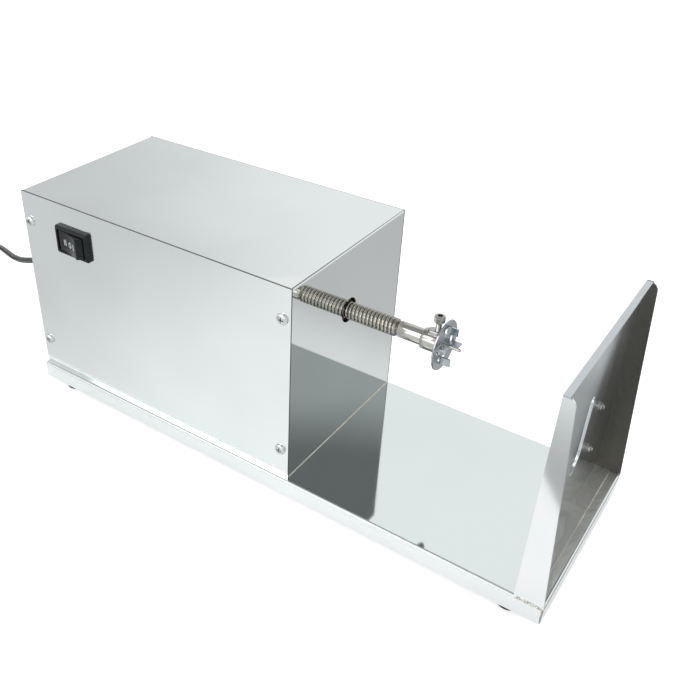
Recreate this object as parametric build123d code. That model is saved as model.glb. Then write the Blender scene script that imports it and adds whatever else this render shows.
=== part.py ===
"""Tornado potato cutter: a motor carriage on two rods drives a lead screw that turns and feeds a
forked chuck towards a raised knife on a folded sheet stand.

Millimetres, +Z up. The origin is on the floor under the middle of the base. +X runs from the
motor housing to the knife stand, +Y to the back.
"""

from build123d import *
from math import cos, pi, radians, sin, sqrt, tan
import os

# ---- base tray and feet ----
base_length = 532.0
base_width = 180.0
base_flange = 16.5
sheet = 1.5
bend = 2.4
foot_height = 8.0
foot_diameter = 20.0
foot_flare = 2.0
foot_recess_diameter = 9.0
foot_recess_depth = 4.0
foot_from_end = 29.0
foot_from_side = 14.5
foot_plate_length = 48.0
foot_plate_width = 26.0
foot_screw_diameter = 4.0
foot_head_diameter = 8.0
foot_head_height = 2.6
foot_screw_past = 6.0
foot_nut_flats = 7.0
foot_nut_height = 3.2

# ---- motor housing ----
housing_length = 300.0
housing_height = 187.0
housing_from_end = 0.5
front_ledge = 5.0
back_ledge = 1.0
housing_sheet = 1.2
return_flange = 14.0
panel_top_gap = 0.3
panel_screw_inset = 7.8
panel_screw_from_edge = 28.5
pan_head_diameter = 10.4
pan_head_height = 3.0
pan_head_round = 2.0
pan_screw_length = 8.4
recess_length = 5.2
recess_width = 1.1
recess_depth = 1.8
panel_nut_diameter = 9.0
wall_screw_inset = 11.0
wall_tab = 18.0
thread_diameter = 5.0
deck_head_diameter = 9.0
deck_head_height = 3.0
wall_screw_past = 5.0
nut_flats = 8.0
nut_height = 4.0

# ---- lead screw and its nut ----
axis_y = 2.0
axis_z = 151.0
screw_diameter = 15.5
shank_diameter = 14.0
thread_past_wall = 48.5
shank_length = 38.0
screw_pitch = 3.5
turns_forward = 25
turns_back = 18
wall_hole = 22.5
running_gap = 0.05
slide_gap = 0.02
nut_barrel = 24.0
nut_past_plate = 5.0
nut_flange_diameter = 42.0
nut_flange = 4.0
nut_screw_count = 3
nut_screw_circle = 32.0
nut_screw_diameter = 4.0
nut_screw_head = 7.0
nut_screw_head_height = 3.0

# ---- chuck ----
hub_diameter = 18.0
hub_length = 17.5
hub_cap = 2.0
disc_diameter = 43.0
disc_thickness = 1.5
prong_width = 7.0
prong_length = 9.5
window_centre = 12.3
pin_diameter = 2.8
pin_past_disc = 18.5
pin_point = 1.0
spare_hole = 5.0
spare_hole_centre = 13.4
clamp_from_end = 6.0
clamp_head_diameter = 9.0
clamp_head_height = 7.0
clamp_head_lift = 18.0
clamp_head_chamfer = 0.5
clamp_socket_flats = 4.0
clamp_socket_depth = 3.5
boss_width = 9.0
boss_length = 8.0
boss_height = 2.5
boss_root = 4.0

# ---- guide rods and what carries them ----
rod_diameter = 10.0
rod_spread = 52.0
rod_height = 92.0
rod_from_end = 3.5
pedestal_length = 12.0
pedestal_width = 22.0
pedestal_over_rod = 12.0
pedestal_corner = 6.0
block_screw_depth = 10.0
support_from_wall = 14.5
support_thickness = 6.0
support_margin = 10.0
support_over_axis = 28.0
support_corner = 20.0
support_foot_length = 20.0
support_foot_width = 16.0
support_foot_height = 8.0
support_foot_outset = 6.0
support_screw_back = 12.0

# ---- carriage, gearbox and motor ----
carriage_from_wall = 136.5
carriage_thickness = 8.0
plate_margin = 16.0
plate_over_axis = 42.0
plate_corner = 8.0
plate_bore = 36.0
bush_diameter = 19.0
bush_length = 24.0
bush_collar_diameter = 26.0
bush_collar_length = 3.0
gearbox_side = 80.0
gearbox_length = 35.0
gearbox_corner = 6.0
gearbox_screw_inset = 7.0
gearbox_screw_depth = 11.0
gearbox_head_diameter = 8.5
gearbox_head_height = 4.0
motor_diameter = 62.0
motor_length = 51.0
cap_length = 8.0
cap_rim = 1.0
cap_round = 3.0
cap_vents = 8
cap_vent_circle = 40.0
cap_vent_diameter = 6.0
cap_vent_depth = 4.0
shaft_diameter = 10.0
shaft_reach = 14.0
shaft_in_gearbox = 22.0
shaft_end_gap = 1.0
coupling_diameter = 30.0
coupling_gap = 2.0
coupling_on_screw = 12.0
coupling_screw_inset = 5.0
coupling_screw_sunk = 0.5

# ---- limit switches ----
limit_stand = 18.0
limit_height = 16.0
limit_width = 12.0
limit_length = 20.0
limit_block_margin = 3.0
plunger_diameter = 6.0
plunger_out = 6.0
plunger_length = 13.0
plunger_stroke = 3.0
plunger_end_gap = 0.5
striker_thickness = 3.0
striker_width = 10.0
striker_gap = 0.5
striker_over_block = 3.0

# ---- capacitor and terminal block ----
capacitor_diameter = 34.0
capacitor_length = 60.0
capacitor_round = 2.0
capacitor_from_end = 33.5
capacitor_from_axis = 34.0
capacitor_stand = 3.0
strap_width = 12.0
strap_sheet = 1.5
strap_foot = 8.0
terminal_pitch = 12.0
terminal_count = 4
terminal_width = 20.0
terminal_height = 16.0
terminal_pocket = 5.0
terminal_depth = 8.0
terminal_spread = 5.0
terminal_from_end = 31.5
terminal_from_front = 19.0

# ---- rocker switch ----
switch_from_end = 64.0
switch_from_top = 34.0
bezel_length = 40.0
bezel_height = 27.5
bezel_depth = 4.5
bezel_corner = 2.0
bezel_chamfer = 1.6
bezel_overlap = 2.0
case_depth = 25.0
rocker_radius = 16.0
rocker_height = 20.0
rocker_rise = 7.8
rocker_inside = 2.0
rocker_pivot_depth = 1.0
rocker_step = 12.0
rocker_clearance = 0.4
rocker_trough_depth = 7.0
dish_radius = 60.0
dish_depth = 1.2
trunnion_diameter = 3.0
trunnion_length = 1.6
trunnion_gap = 0.3
tab_length = 9.0
tab_width = 4.8
tab_thickness = 0.8
tab_columns = (-8.0, 0.0, 8.0)
tab_rows = (-5.5, 5.5)

# ---- knife stand ----
stand_from_end = 23.0
stand_height = 187.0
stand_foot = 14.0
stand_top_flange = 5.0
stand_corner = 8.0
flange_at_top = 9.0
slot_width = 9.0
slot_length = 46.0
slot_bend_radius = 14.0
slot_turn = 78.0
slot_head_shift = 2.5

# ---- knife and its bolts ----
knife_thickness = 1.5
knife_stand_off = 4.5
knife_joggle = 6.0
knife_joggle_lap = 0.6
knife_land_from_axis = 12.0
knife_land_width = 26.0
knife_front_from_axis = 20.0
knife_notch_from_axis = 16.0
knife_over_axis = 4.0
knife_under_slot = 26.0
knife_corner = 6.0
knife_bolt_inset = 11.0
knife_bolt_drops = (19.5, 61.5)
knife_head_diameter = 9.0
knife_head_height = 3.0
knife_bolt_past = 8.0
washer_diameter = 10.0
washer_thickness = 1.0

# ---- mains cord, strain relief and plug ----
cord_diameter = 6.5
cord_floor = 3.3
gland_y = -27.0
gland_z = 102.0
gland_length = 24.0
gland_flange = 3.0
gland_flange_diameter = 18.0
gland_tip_diameter = 9.2
gland_root_diameter = 13.0
gland_shank_diameter = 12.0
gland_inside = 9.0
gland_bore_outside = 2.0
gland_nut_flats = 17.0
coil_x = -584.0
coil_start_y = 72.0
coil_inner_radius = 26.0
coil_pitch = 7.2
quarters_in = 10
quarters_out = 11
gap_steps = 12
plug_length = 30.0
plug_width = 26.0
plug_corner = 4.0
relief_length = 26.0
relief_start_diameter = 8.4
relief_end_diameter = 10.8
relief_overlap = 3.0
blade_spread = 12.7
blade_length = 18.0
blade_width = 6.3
blade_thickness = 1.5
blade_raise = 3.0
earth_pin_diameter = 4.8
earth_pin_length = 21.0
earth_pin_drop = 5.5

# ---- how far a cutting shape runs past what it cuts ----
past = 1.0

# ---- worked out from the sizes above ----
base_half = base_length / 2
width_half = base_width / 2
deck = foot_height + base_flange
housing_left = -base_half + housing_from_end
housing_right = housing_left + housing_length
housing_front = -width_half + front_ledge
housing_back = width_half - back_ledge
housing_top = deck + housing_height
inner_left = housing_left + housing_sheet
inner_right = housing_right - housing_sheet
feed_forward = turns_forward * screw_pitch
feed_back = turns_back * screw_pitch
rod_sides = (axis_y - rod_spread, axis_y + rod_spread)
rod_start = housing_left + rod_from_end
support_x = housing_right - support_from_wall
carriage_x = housing_right - carriage_from_wall
screw_start = carriage_x + shaft_reach
thread_end = housing_right + thread_past_wall
shank_end = thread_end + shank_length
hub_end = shank_end + hub_cap
hub_start = hub_end - hub_length
disc_face = hub_end + disc_thickness
clamp_x = hub_end - clamp_from_end
clamp_under_head = axis_z + clamp_head_lift
gearbox_x = (carriage_x - gearbox_length, carriage_x)
motor_x = (gearbox_x[0] - motor_length, gearbox_x[0])
coupling_x = (carriage_x + coupling_gap, screw_start + coupling_on_screw)
limit_z = (deck + limit_stand, deck + limit_stand + limit_height)
limit_middle = deck + limit_stand + limit_height / 2
limit_y = (axis_y - limit_width / 2, axis_y + limit_width / 2)
striker_middle = carriage_x + carriage_thickness / 2
striker_front = striker_middle + striker_thickness / 2 + feed_forward + striker_gap
striker_back = striker_middle - striker_thickness / 2 - feed_back - striker_gap
limit_ends = ((striker_front, 1), (striker_back, -1))
switch_x = housing_left + switch_from_end
switch_z = housing_top - switch_from_top
rocker_pivot = (switch_x, housing_front + rocker_pivot_depth)
stand_x = base_half - stand_from_end
stand_back = stand_x + sheet
stand_top = deck + stand_height
slot_middle = axis_y - slot_width / 2
slot_bend_y = slot_middle - slot_bend_radius
slot_bottom = axis_z - slot_length
slot_inner = slot_bend_radius - slot_width / 2
slot_outer = slot_bend_radius + slot_width / 2
knife_land = axis_y + knife_land_from_axis
bolt_y = knife_land + knife_bolt_inset
bolt_heights = [axis_z - drop for drop in knife_bolt_drops]
gland_mouth = (housing_left - gland_length, gland_y, gland_z)

os.makedirs("parts", exist_ok=True)


def box(x, y, z):
    """A box from three (low, high) pairs."""
    size = (x[1] - x[0], y[1] - y[0], z[1] - z[0])
    middle = ((x[0] + x[1]) / 2, (y[0] + y[1]) / 2, (z[0] + z[1]) / 2)
    return Pos(*middle) * Box(*size)


def rod_x(start, end, y, z, diameter):
    """A cylinder along X."""
    centre = Pos((start + end) / 2, y, z)
    return centre * Rot(0, 90, 0) * Cylinder(diameter / 2, end - start)


def rod_y(start, end, x, z, diameter):
    """A cylinder along Y."""
    centre = Pos(x, (start + end) / 2, z)
    return centre * Rot(90, 0, 0) * Cylinder(diameter / 2, end - start)


def rod_z(start, end, x, y, diameter):
    """A cylinder along Z."""
    return Pos(x, y, (start + end) / 2) * Cylinder(diameter / 2, end - start)


def rounded(solid, axis, radius):
    """The solid with its straight edges along one axis rounded."""
    return fillet(solid.edges().filter_by(axis), radius)


def joined(pieces):
    """All the pieces fused into one shape."""
    whole = pieces[0]
    for piece in pieces[1:]:
        whole = whole + piece
    return whole


def without(solid, tools):
    """The solid with each tool cut away."""
    for tool in tools:
        solid = solid - tool
    return solid


def group(solids):
    """Separate solids under one node."""
    return Compound(children=list(solids))


def write(name, shape):
    export_step(shape, f"parts/{name}.step")
    print(name, round(shape.volume), "mm3")


def hexagon(across_flats):
    return RegularPolygon(across_flats / 2, 6, major_radius=False)


# ---- where the fasteners stand ----
foot_places = [
    (side_x * (base_half - foot_from_end), side_y * (width_half - foot_from_side))
    for side_x in (-1, 1)
    for side_y in (-1, 1)
]
panel_screw_columns = (housing_left + panel_screw_inset, housing_right - panel_screw_inset)
wall_screw_places = [
    (x, y)
    for x in panel_screw_columns
    for y in (housing_front + wall_screw_inset, housing_back - wall_screw_inset)
]
side_screw_places = [
    (x, z)
    for x in panel_screw_columns
    for z in (deck + panel_screw_from_edge, housing_top - panel_screw_from_edge)
]
pedestal_places = [(rod_start + pedestal_length / 2, y) for y in rod_sides]
support_foot_places = [
    (support_x - support_screw_back, rod_sides[0] - support_foot_outset),
    (support_x - support_screw_back, rod_sides[1] + support_foot_outset),
]
block_screw_places = pedestal_places + support_foot_places
nut_screw_turns = [radians(90 + 360 * n / nut_screw_count) for n in range(nut_screw_count)]
nut_screw_places = [
    (axis_y + nut_screw_circle / 2 * cos(turn), axis_z + nut_screw_circle / 2 * sin(turn))
    for turn in nut_screw_turns
]
gearbox_screw_reach = gearbox_side / 2 - gearbox_screw_inset
gearbox_screw_places = [
    (axis_y + side_y * gearbox_screw_reach, axis_z + side_z * gearbox_screw_reach)
    for side_y in (-1, 1)
    for side_z in (-1, 1)
]


def base_tray():
    """Deck with plain flanges folded down on its four sides."""
    outer = box((-base_half, base_half), (-width_half, width_half), (foot_height, deck))
    outer = rounded(outer, Axis.Z, bend)
    outer = fillet(outer.faces().sort_by(Axis.Z)[-1].edges(), bend)
    inner = box(
        (-base_half + sheet, base_half - sheet),
        (-width_half + sheet, width_half - sheet),
        (foot_height - past, deck - sheet),
    )
    inner = rounded(inner, Axis.Z, bend - sheet)
    screws = wall_screw_places + block_screw_places
    holes = [rod_z(deck - sheet - past, deck + past, x, y, thread_diameter) for x, y in screws]
    return without(outer, [inner] + holes)


def foot_plates():
    """Plates welded inside the tray's corners, level with the flanges, for the feet."""
    low = foot_height
    plates = []
    for x, y in foot_places:
        side_x = 1 if x > 0 else -1
        side_y = 1 if y > 0 else -1
        corner_x = side_x * (base_half - sheet)
        corner_y = side_y * (width_half - sheet)
        reach_x = sorted((corner_x, corner_x - side_x * foot_plate_length))
        reach_y = sorted((corner_y, corner_y - side_y * foot_plate_width))
        plate = rounded(box(reach_x, reach_y, (low, low + sheet)), Axis.Z, bend)
        plates.append(plate - rod_z(low - past, low + sheet + past, x, y, foot_screw_diameter))
    return group(plates)


def rubber_feet():
    feet = []
    radius = foot_diameter / 2
    for x, y in foot_places:
        foot = Pos(x, y, foot_height / 2) * Cone(radius, radius + foot_flare / 2, foot_height)
        recess = rod_z(-past, foot_recess_depth, x, y, foot_recess_diameter)
        bore = rod_z(-past, foot_height + past, x, y, foot_screw_diameter)
        feet.append(foot - recess - bore)
    return group(feet)


def foot_screws():
    screws = []
    for x, y in foot_places:
        head_end = foot_recess_depth
        head = rod_z(head_end - foot_head_height, head_end, x, y, foot_head_diameter)
        shank = rod_z(head_end, foot_height + sheet + foot_screw_past, x, y, foot_screw_diameter)
        screws.append(head + shank)
    return group(screws)


def foot_nuts():
    nuts = []
    low = foot_height + sheet
    for x, y in foot_places:
        nut = extrude(Pos(x, y, low) * hexagon(foot_nut_flats), foot_nut_height)
        bore = rod_z(low - past, low + foot_nut_height + past, x, y, foot_screw_diameter)
        nuts.append(nut - bore)
    return group(nuts)


def deck_screws():
    screws = []
    under = deck - sheet
    for x, y in wall_screw_places + block_screw_places:
        in_wall = (x, y) in wall_screw_places
        reach = deck + (housing_sheet + wall_screw_past if in_wall else block_screw_depth)
        head = rod_z(under - deck_head_height, under, x, y, deck_head_diameter)
        screws.append(head + rod_z(under, reach, x, y, thread_diameter))
    return group(screws)


def deck_nuts():
    nuts = []
    low = deck + housing_sheet
    for x, y in wall_screw_places:
        nut = extrude(Pos(x, y, low) * hexagon(nut_flats), nut_height)
        nuts.append(nut - rod_z(low - past, low + nut_height + past, x, y, thread_diameter))
    return group(nuts)


def housing_wrap():
    """Top and both end walls folded from one sheet, with flanges for the panels and the base."""
    y = (housing_front + housing_sheet, housing_back - housing_sheet)
    outer = box((housing_left, housing_right), y, (deck, housing_top))
    top_edges = outer.faces().sort_by(Axis.Z)[-1].edges().filter_by(Axis.Y)
    outer = fillet(top_edges, bend)
    inner = box(
        (inner_left, inner_right),
        (y[0] - past, y[1] + past),
        (deck - past, housing_top - housing_sheet),
    )
    inner_top = inner.faces().sort_by(Axis.Z)[-1].edges().filter_by(Axis.Y)
    inner = fillet(inner_top, bend - housing_sheet)
    wrap = outer - inner
    high = housing_top - housing_sheet
    for wall, way in ((inner_left, 1), (inner_right, -1)):
        reach = sorted((wall, wall + way * return_flange))
        for edge, turn in ((y[0], 1), (y[1], -1)):
            depth = sorted((edge, edge + turn * housing_sheet))
            wrap += box(reach, depth, (deck, high))
            tab = sorted((edge, edge + turn * wall_tab))
            wrap += box(reach, tab, (deck, deck + housing_sheet))
    through = housing_sheet + past
    holes = [rod_x(housing_right - through, housing_right + past, axis_y, axis_z, wall_hole)]
    gland_hole = (housing_left - past, housing_left + through)
    holes.append(rod_x(*gland_hole, gland_y, gland_z, gland_shank_diameter))
    for x, z in side_screw_places:
        holes.append(rod_y(y[0] - past, y[0] + through, x, z, thread_diameter))
        holes.append(rod_y(y[1] - through, y[1] + past, x, z, thread_diameter))
    for x, place_y in wall_screw_places:
        holes.append(rod_z(deck - past, deck + through, x, place_y, thread_diameter))
    return without(wrap, holes)


def side_panel(outer_y, inner_y):
    depth = sorted((outer_y, inner_y))
    panel = box((housing_left, housing_right), depth, (deck, housing_top - panel_top_gap))
    cut = (depth[0] - past, depth[1] + past)
    return without(panel, [rod_y(*cut, x, z, thread_diameter) for x, z in side_screw_places])


def front_side_panel():
    panel = side_panel(housing_front, housing_front + housing_sheet)
    half_length = bezel_length / 2 - bezel_overlap
    half_height = bezel_height / 2 - bezel_overlap
    opening = box(
        (switch_x - half_length, switch_x + half_length),
        (housing_front - past, housing_front + housing_sheet + past),
        (switch_z - half_height, switch_z + half_height),
    )
    return panel - opening


def pan_screw(x, z, face, way):
    """A pan head screw on a side panel: face is the panel's outer Y, way points out of it."""
    dome = Pos(x, face, z) * Rot(90 if way < 0 else -90, 0, 0)
    head = dome * Pos(0, 0, pan_head_height / 2) * Cylinder(pan_head_diameter / 2, pan_head_height)
    rim = head.edges().filter_by(GeomType.CIRCLE).sort_by(Axis.Y)
    head = fillet(rim[0] if way < 0 else rim[-1], pan_head_round)
    shank = dome * Pos(0, 0, -pan_screw_length / 2) * Cylinder(thread_diameter / 2, pan_screw_length)
    recess = dome * Pos(0, 0, pan_head_height + (past - recess_depth) / 2)
    depth = recess_depth + past
    across = recess * Box(recess_width, recess_length, depth)
    return head + shank - across - recess * Box(recess_length, recess_width, depth)


def panel_nuts():
    nuts = []
    for face, way in ((housing_front, 1), (housing_back, -1)):
        low = face + way * 2 * housing_sheet
        reach = sorted((low, low + way * nut_height))
        for x, z in side_screw_places:
            nut = rod_y(*reach, x, z, panel_nut_diameter)
            nuts.append(nut - rod_y(reach[0] - past, reach[1] + past, x, z, thread_diameter))
    return group(nuts)


def support_plate():
    """Upright plate behind the end wall: holds the nut and the front ends of the rods."""
    x = (support_x, support_x + support_thickness)
    y = (rod_sides[0] - support_margin, rod_sides[1] + support_margin)
    plate = box(x, y, (deck, axis_z + support_over_axis))
    top = plate.faces().sort_by(Axis.Z)[-1].edges().filter_by(Axis.X)
    plate = fillet(top, support_corner)
    for _, foot_y in support_foot_places:
        wide = (foot_y - support_foot_width / 2, foot_y + support_foot_width / 2)
        plate += box((support_x - support_foot_length, support_x), wide, (deck, deck + support_foot_height))
    cut = (x[0] - past, x[1] + past)
    holes = [rod_x(*cut, axis_y, axis_z, nut_barrel)]
    holes += [rod_x(*cut, side, rod_height, rod_diameter) for side in rod_sides]
    high = deck + block_screw_depth + past
    holes += [rod_z(deck - past, high, *place, thread_diameter) for place in support_foot_places]
    holes += [rod_x(*cut, *place, nut_screw_diameter) for place in nut_screw_places]
    return without(plate, holes)


def lead_nut():
    """Flanged round nut that the screw turns in."""
    start = support_x - nut_flange
    end = support_x + support_thickness + nut_past_plate
    barrel = rod_x(start, end, axis_y, axis_z, nut_barrel)
    flange = rod_x(start, support_x, axis_y, axis_z, nut_flange_diameter)
    bore = rod_x(start - past, end + past, axis_y, axis_z, screw_diameter + 2 * running_gap)
    cut = (start - past, support_x + past)
    holes = [rod_x(*cut, *place, nut_screw_diameter) for place in nut_screw_places]
    return without(barrel + flange, [bore] + holes)


def lead_nut_screws():
    screws = []
    face = support_x + support_thickness
    for place in nut_screw_places:
        head = rod_x(face, face + nut_screw_head_height, *place, nut_screw_head)
        screws.append(head + rod_x(support_x - nut_flange, face, *place, nut_screw_diameter))
    return group(screws)


def guide_rods():
    end = support_x + support_thickness
    return group([rod_x(rod_start, end, y, rod_height, rod_diameter) for y in rod_sides])


def rod_pedestals():
    blocks = []
    for x, y in pedestal_places:
        reach = (x - pedestal_length / 2, x + pedestal_length / 2)
        wide = (y - pedestal_width / 2, y + pedestal_width / 2)
        block = box(reach, wide, (deck, rod_height + pedestal_over_rod))
        block = fillet(block.faces().sort_by(Axis.Z)[-1].edges().filter_by(Axis.X), pedestal_corner)
        bore = rod_x(reach[0] - past, reach[1] + past, y, rod_height, rod_diameter)
        hole = rod_z(deck - past, deck + block_screw_depth + past, x, y, thread_diameter)
        blocks.append(block - bore - hole)
    return group(blocks)


# ---- limit switches: the striker under the carriage stops just short of each plunger ----


def limit_reach(tip, way):
    return sorted((tip + way * plunger_out, tip + way * (plunger_out + limit_length)))


def limit_blocks():
    wide = (limit_y[0] - limit_block_margin, limit_y[1] + limit_block_margin)
    return group([box(limit_reach(tip, way), wide, (deck, limit_z[0])) for tip, way in limit_ends])


def limit_switches():
    bodies = []
    depth = plunger_length + plunger_stroke + plunger_end_gap
    bore_diameter = plunger_diameter + 2 * running_gap
    for tip, way in limit_ends:
        body = box(limit_reach(tip, way), limit_y, limit_z)
        reach = sorted((tip, tip + way * depth))
        bodies.append(body - rod_x(*reach, axis_y, limit_middle, bore_diameter))
    return group(bodies)


def limit_plunger(tip, way):
    reach = sorted((tip, tip + way * plunger_length))
    return rod_x(*reach, axis_y, limit_middle, plunger_diameter)


capacitor_x = (housing_left + capacitor_from_end, housing_left + capacitor_from_end + capacitor_length)
capacitor_y = axis_y + capacitor_from_axis
capacitor_z = deck + capacitor_stand + capacitor_diameter / 2


def run_capacitor():
    can = rod_x(*capacitor_x, capacitor_y, capacitor_z, capacitor_diameter)
    return fillet(can.edges().filter_by(GeomType.CIRCLE), capacitor_round)


def capacitor_strap():
    """Band over the capacitor with a foot on each side."""
    middle = sum(capacitor_x) / 2
    x = (middle - strap_width / 2, middle + strap_width / 2)
    cut = (x[0] - past, x[1] + past)
    inside = capacitor_diameter / 2
    outside = inside + strap_sheet
    foot = outside + strap_foot
    band = rod_x(*x, capacitor_y, capacitor_z, 2 * outside)
    band += box(x, (capacitor_y - outside, capacitor_y + outside), (deck, capacitor_z))
    feet = box(x, (capacitor_y - foot, capacitor_y + foot), (deck, deck + strap_sheet))
    hollow = rod_x(*cut, capacitor_y, capacitor_z, capacitor_diameter)
    under = box(cut, (capacitor_y - inside, capacitor_y + inside), (deck - past, capacitor_z))
    return (band - under - hollow) + feet - hollow


def terminal_block():
    start = housing_left + terminal_from_end
    front = housing_front + terminal_from_front
    length = terminal_pitch * terminal_count
    block = box((start, start + length), (front, front + terminal_width), (deck, deck + terminal_height))
    top = deck + terminal_height
    pockets = []
    for n in range(terminal_count):
        x = start + terminal_pitch * (n + 0.5)
        for row in (-terminal_spread, terminal_spread):
            y = front + terminal_width / 2 + row
            pockets.append(rod_z(top - terminal_depth, top + past, x, y, terminal_pocket))
    return without(block, pockets)


def switch_body():
    """Chamfered bezel, with the round trough that the rocker swings in and the case behind."""
    x = (switch_x - bezel_length / 2, switch_x + bezel_length / 2)
    z = (switch_z - bezel_height / 2, switch_z + bezel_height / 2)
    bezel = box(x, (housing_front - bezel_depth, housing_front), z)
    bezel = rounded(bezel, Axis.Y, bezel_corner)
    bezel = chamfer(bezel.faces().sort_by(Axis.Y)[0].edges(), bezel_chamfer)
    case = box(
        (x[0] + bezel_overlap, x[1] - bezel_overlap),
        (housing_front, housing_front + case_depth),
        (z[0] + bezel_overlap, z[1] - bezel_overlap),
    )
    half = rocker_height / 2 + rocker_clearance
    trough = rod_z(switch_z - half, switch_z + half, *rocker_pivot, 2 * (rocker_radius + rocker_clearance))
    keep_out = box(x, (housing_front + rocker_trough_depth, housing_front + case_depth + past), z)
    deep = rocker_height / 2 + trunnion_length + trunnion_gap
    pin = trunnion_diameter + 2 * running_gap
    sockets = rod_z(switch_z - deep, switch_z + deep, *rocker_pivot, pin)
    return bezel + case - (trough - keep_out) - sockets


def switch_rocker():
    """Rocker resting with its left side pressed in, so its right side stands out."""
    wide = 2 * rocker_radius
    drum = Cylinder(rocker_radius, rocker_height)
    face = box((-wide, wide), (-wide, -rocker_rise), (-wide, wide))
    inside = box((-wide, wide), (rocker_inside, wide), (-wide, wide))
    dish = Pos(0, dish_depth - rocker_rise - dish_radius, 0) * Cylinder(dish_radius, 2 * rocker_height)
    pins = Cylinder(trunnion_diameter / 2, rocker_height + 2 * trunnion_length)
    body = drum - face - inside - dish + pins
    return Pos(*rocker_pivot, switch_z) * Rot(0, 0, -rocker_step) * body


def switch_terminals():
    blades = []
    y = (housing_front + case_depth, housing_front + case_depth + tab_length)
    for column in tab_columns:
        for row in tab_rows:
            x = switch_x + column
            z = switch_z + row
            thick = (x - tab_thickness / 2, x + tab_thickness / 2)
            blades.append(box(thick, y, (z - tab_width / 2, z + tab_width / 2)))
    return group(blades)


def cable_gland():
    """Tapered strain relief outside the left wall, with a flange and a shank through it."""
    root = housing_left - gland_flange
    out = housing_left - gland_length
    flange = rod_x(root, housing_left, gland_y, gland_z, gland_flange_diameter)
    taper = Cone(gland_tip_diameter / 2, gland_root_diameter / 2, root - out)
    sleeve = Pos((out + root) / 2, gland_y, gland_z) * Rot(0, 90, 0) * taper
    shank = rod_x(housing_left, inner_left + gland_inside, gland_y, gland_z, gland_shank_diameter)
    bore_start = housing_left - gland_bore_outside
    bore = rod_x(bore_start, inner_left + gland_inside + past, gland_y, gland_z, cord_diameter)
    return flange + sleeve + shank - bore


def gland_nut():
    nut = extrude(Plane.YZ.offset(inner_left) * Pos(gland_y, gland_z) * hexagon(gland_nut_flats), nut_height)
    cut = (inner_left - past, inner_left + nut_height + past)
    return nut - rod_x(*cut, gland_y, gland_z, gland_shank_diameter)


def blade_stand():
    """Folded sheet stand: plate, tapered side flanges, top flange and foot, with the slice slot."""
    wide = (-width_half, width_half)
    stand = box((stand_x, stand_back), wide, (deck, stand_top))
    side = [
        (stand_x, deck),
        (base_half, deck),
        (stand_x + flange_at_top, stand_top),
        (stand_x, stand_top),
    ]
    outline = make_face(Polyline(*side, close=True))
    high_corner = outline.vertices().sort_by(Axis.Y)[-2:].sort_by(Axis.X)[-1]
    outline = fillet(high_corner, stand_corner)
    for y in (-width_half + sheet, width_half):
        stand += extrude(Plane.XZ.offset(-y) * outline, sheet)
    stand += box((stand_x, stand_x + stand_top_flange), wide, (stand_top - sheet, stand_top))
    stand += box((stand_x, stand_x + stand_foot), wide, (deck, deck + sheet))
    cut = (stand_x - past, stand_back + past)
    holes = [rod_x(*cut, bolt_y, z, thread_diameter) for z in bolt_heights]
    return without(stand, [slice_slot()] + holes)


def slice_slot():
    """The slot: straight down from the axis, then turning to the front, with a round top."""
    straight = Pos(slot_middle, axis_z - slot_length / 2) * Rectangle(slot_width, slot_length)
    ring = Pos(slot_bend_y, slot_bottom) * (Circle(slot_outer) - Circle(slot_inner))
    reach = 3 * slot_outer
    turn = radians(-slot_turn)
    wedge = make_face(
        Polyline(
            (slot_bend_y, slot_bottom),
            (slot_bend_y + reach, slot_bottom),
            (slot_bend_y + reach, slot_bottom - reach),
            (slot_bend_y + reach * cos(turn), slot_bottom + reach * sin(turn)),
            close=True,
        )
    )
    outline = straight + (ring & wedge)
    cut = (stand_x - past, stand_back + past)
    slot = extrude(Plane.YZ.offset(cut[0]) * outline, cut[1] - cut[0])
    return slot + rod_x(*cut, axis_y - slot_head_shift, axis_z, slot_width)


def spiral_knife():
    """Raised knife: a land bolted to the stand, a joggle, and an edge that follows the slot."""
    back = stand_x
    front = stand_x - knife_stand_off
    thick = knife_thickness
    land_end = knife_land + knife_land_width
    edge_y = axis_y - knife_front_from_axis
    bottom = slot_bottom - knife_under_slot
    top = axis_z + knife_over_axis
    profile = make_face(
        Polyline(
            (back, land_end),
            (back, knife_land),
            (front, knife_land - knife_joggle),
            (front, edge_y),
            (front - thick, edge_y),
            (front - thick, knife_land - knife_joggle + knife_joggle_lap),
            (back - thick, knife_land + knife_joggle_lap),
            (back - thick, land_end),
            close=True,
        )
    )
    knife = extrude(Pos(0, 0, bottom) * profile, top - bottom)
    cut = (front - thick - past, front + past)
    edge_cut = box(cut, (edge_y - past, axis_y), (slot_bottom, top + past))
    round_cut = rod_x(*cut, slot_bend_y, slot_bottom, 2 * slot_outer)
    notch = box(cut, (edge_y - past, axis_y - knife_notch_from_axis), (bottom - past, slot_bottom))
    bolt_cut = (back - thick - past, back + past)
    holes = [rod_x(*bolt_cut, bolt_y, z, thread_diameter) for z in bolt_heights]
    knife = without(knife, [edge_cut, round_cut, notch] + holes)
    corners = knife.edges().filter_by(Axis.X).sort_by(Axis.Y)[-2:]
    return fillet(corners, knife_corner)


def knife_bolts():
    bolts = []
    face = stand_x - knife_thickness
    for z in bolt_heights:
        head = rod_x(face - knife_head_height, face, bolt_y, z, knife_head_diameter)
        bolts.append(head + rod_x(face, stand_back + knife_bolt_past, bolt_y, z, thread_diameter))
    return group(bolts)


def knife_washers():
    washers = []
    reach = (stand_back, stand_back + washer_thickness)
    for z in bolt_heights:
        bore = rod_x(reach[0] - past, reach[1] + past, bolt_y, z, thread_diameter)
        washers.append(rod_x(*reach, bolt_y, z, washer_diameter) - bore)
    return group(washers)


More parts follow.
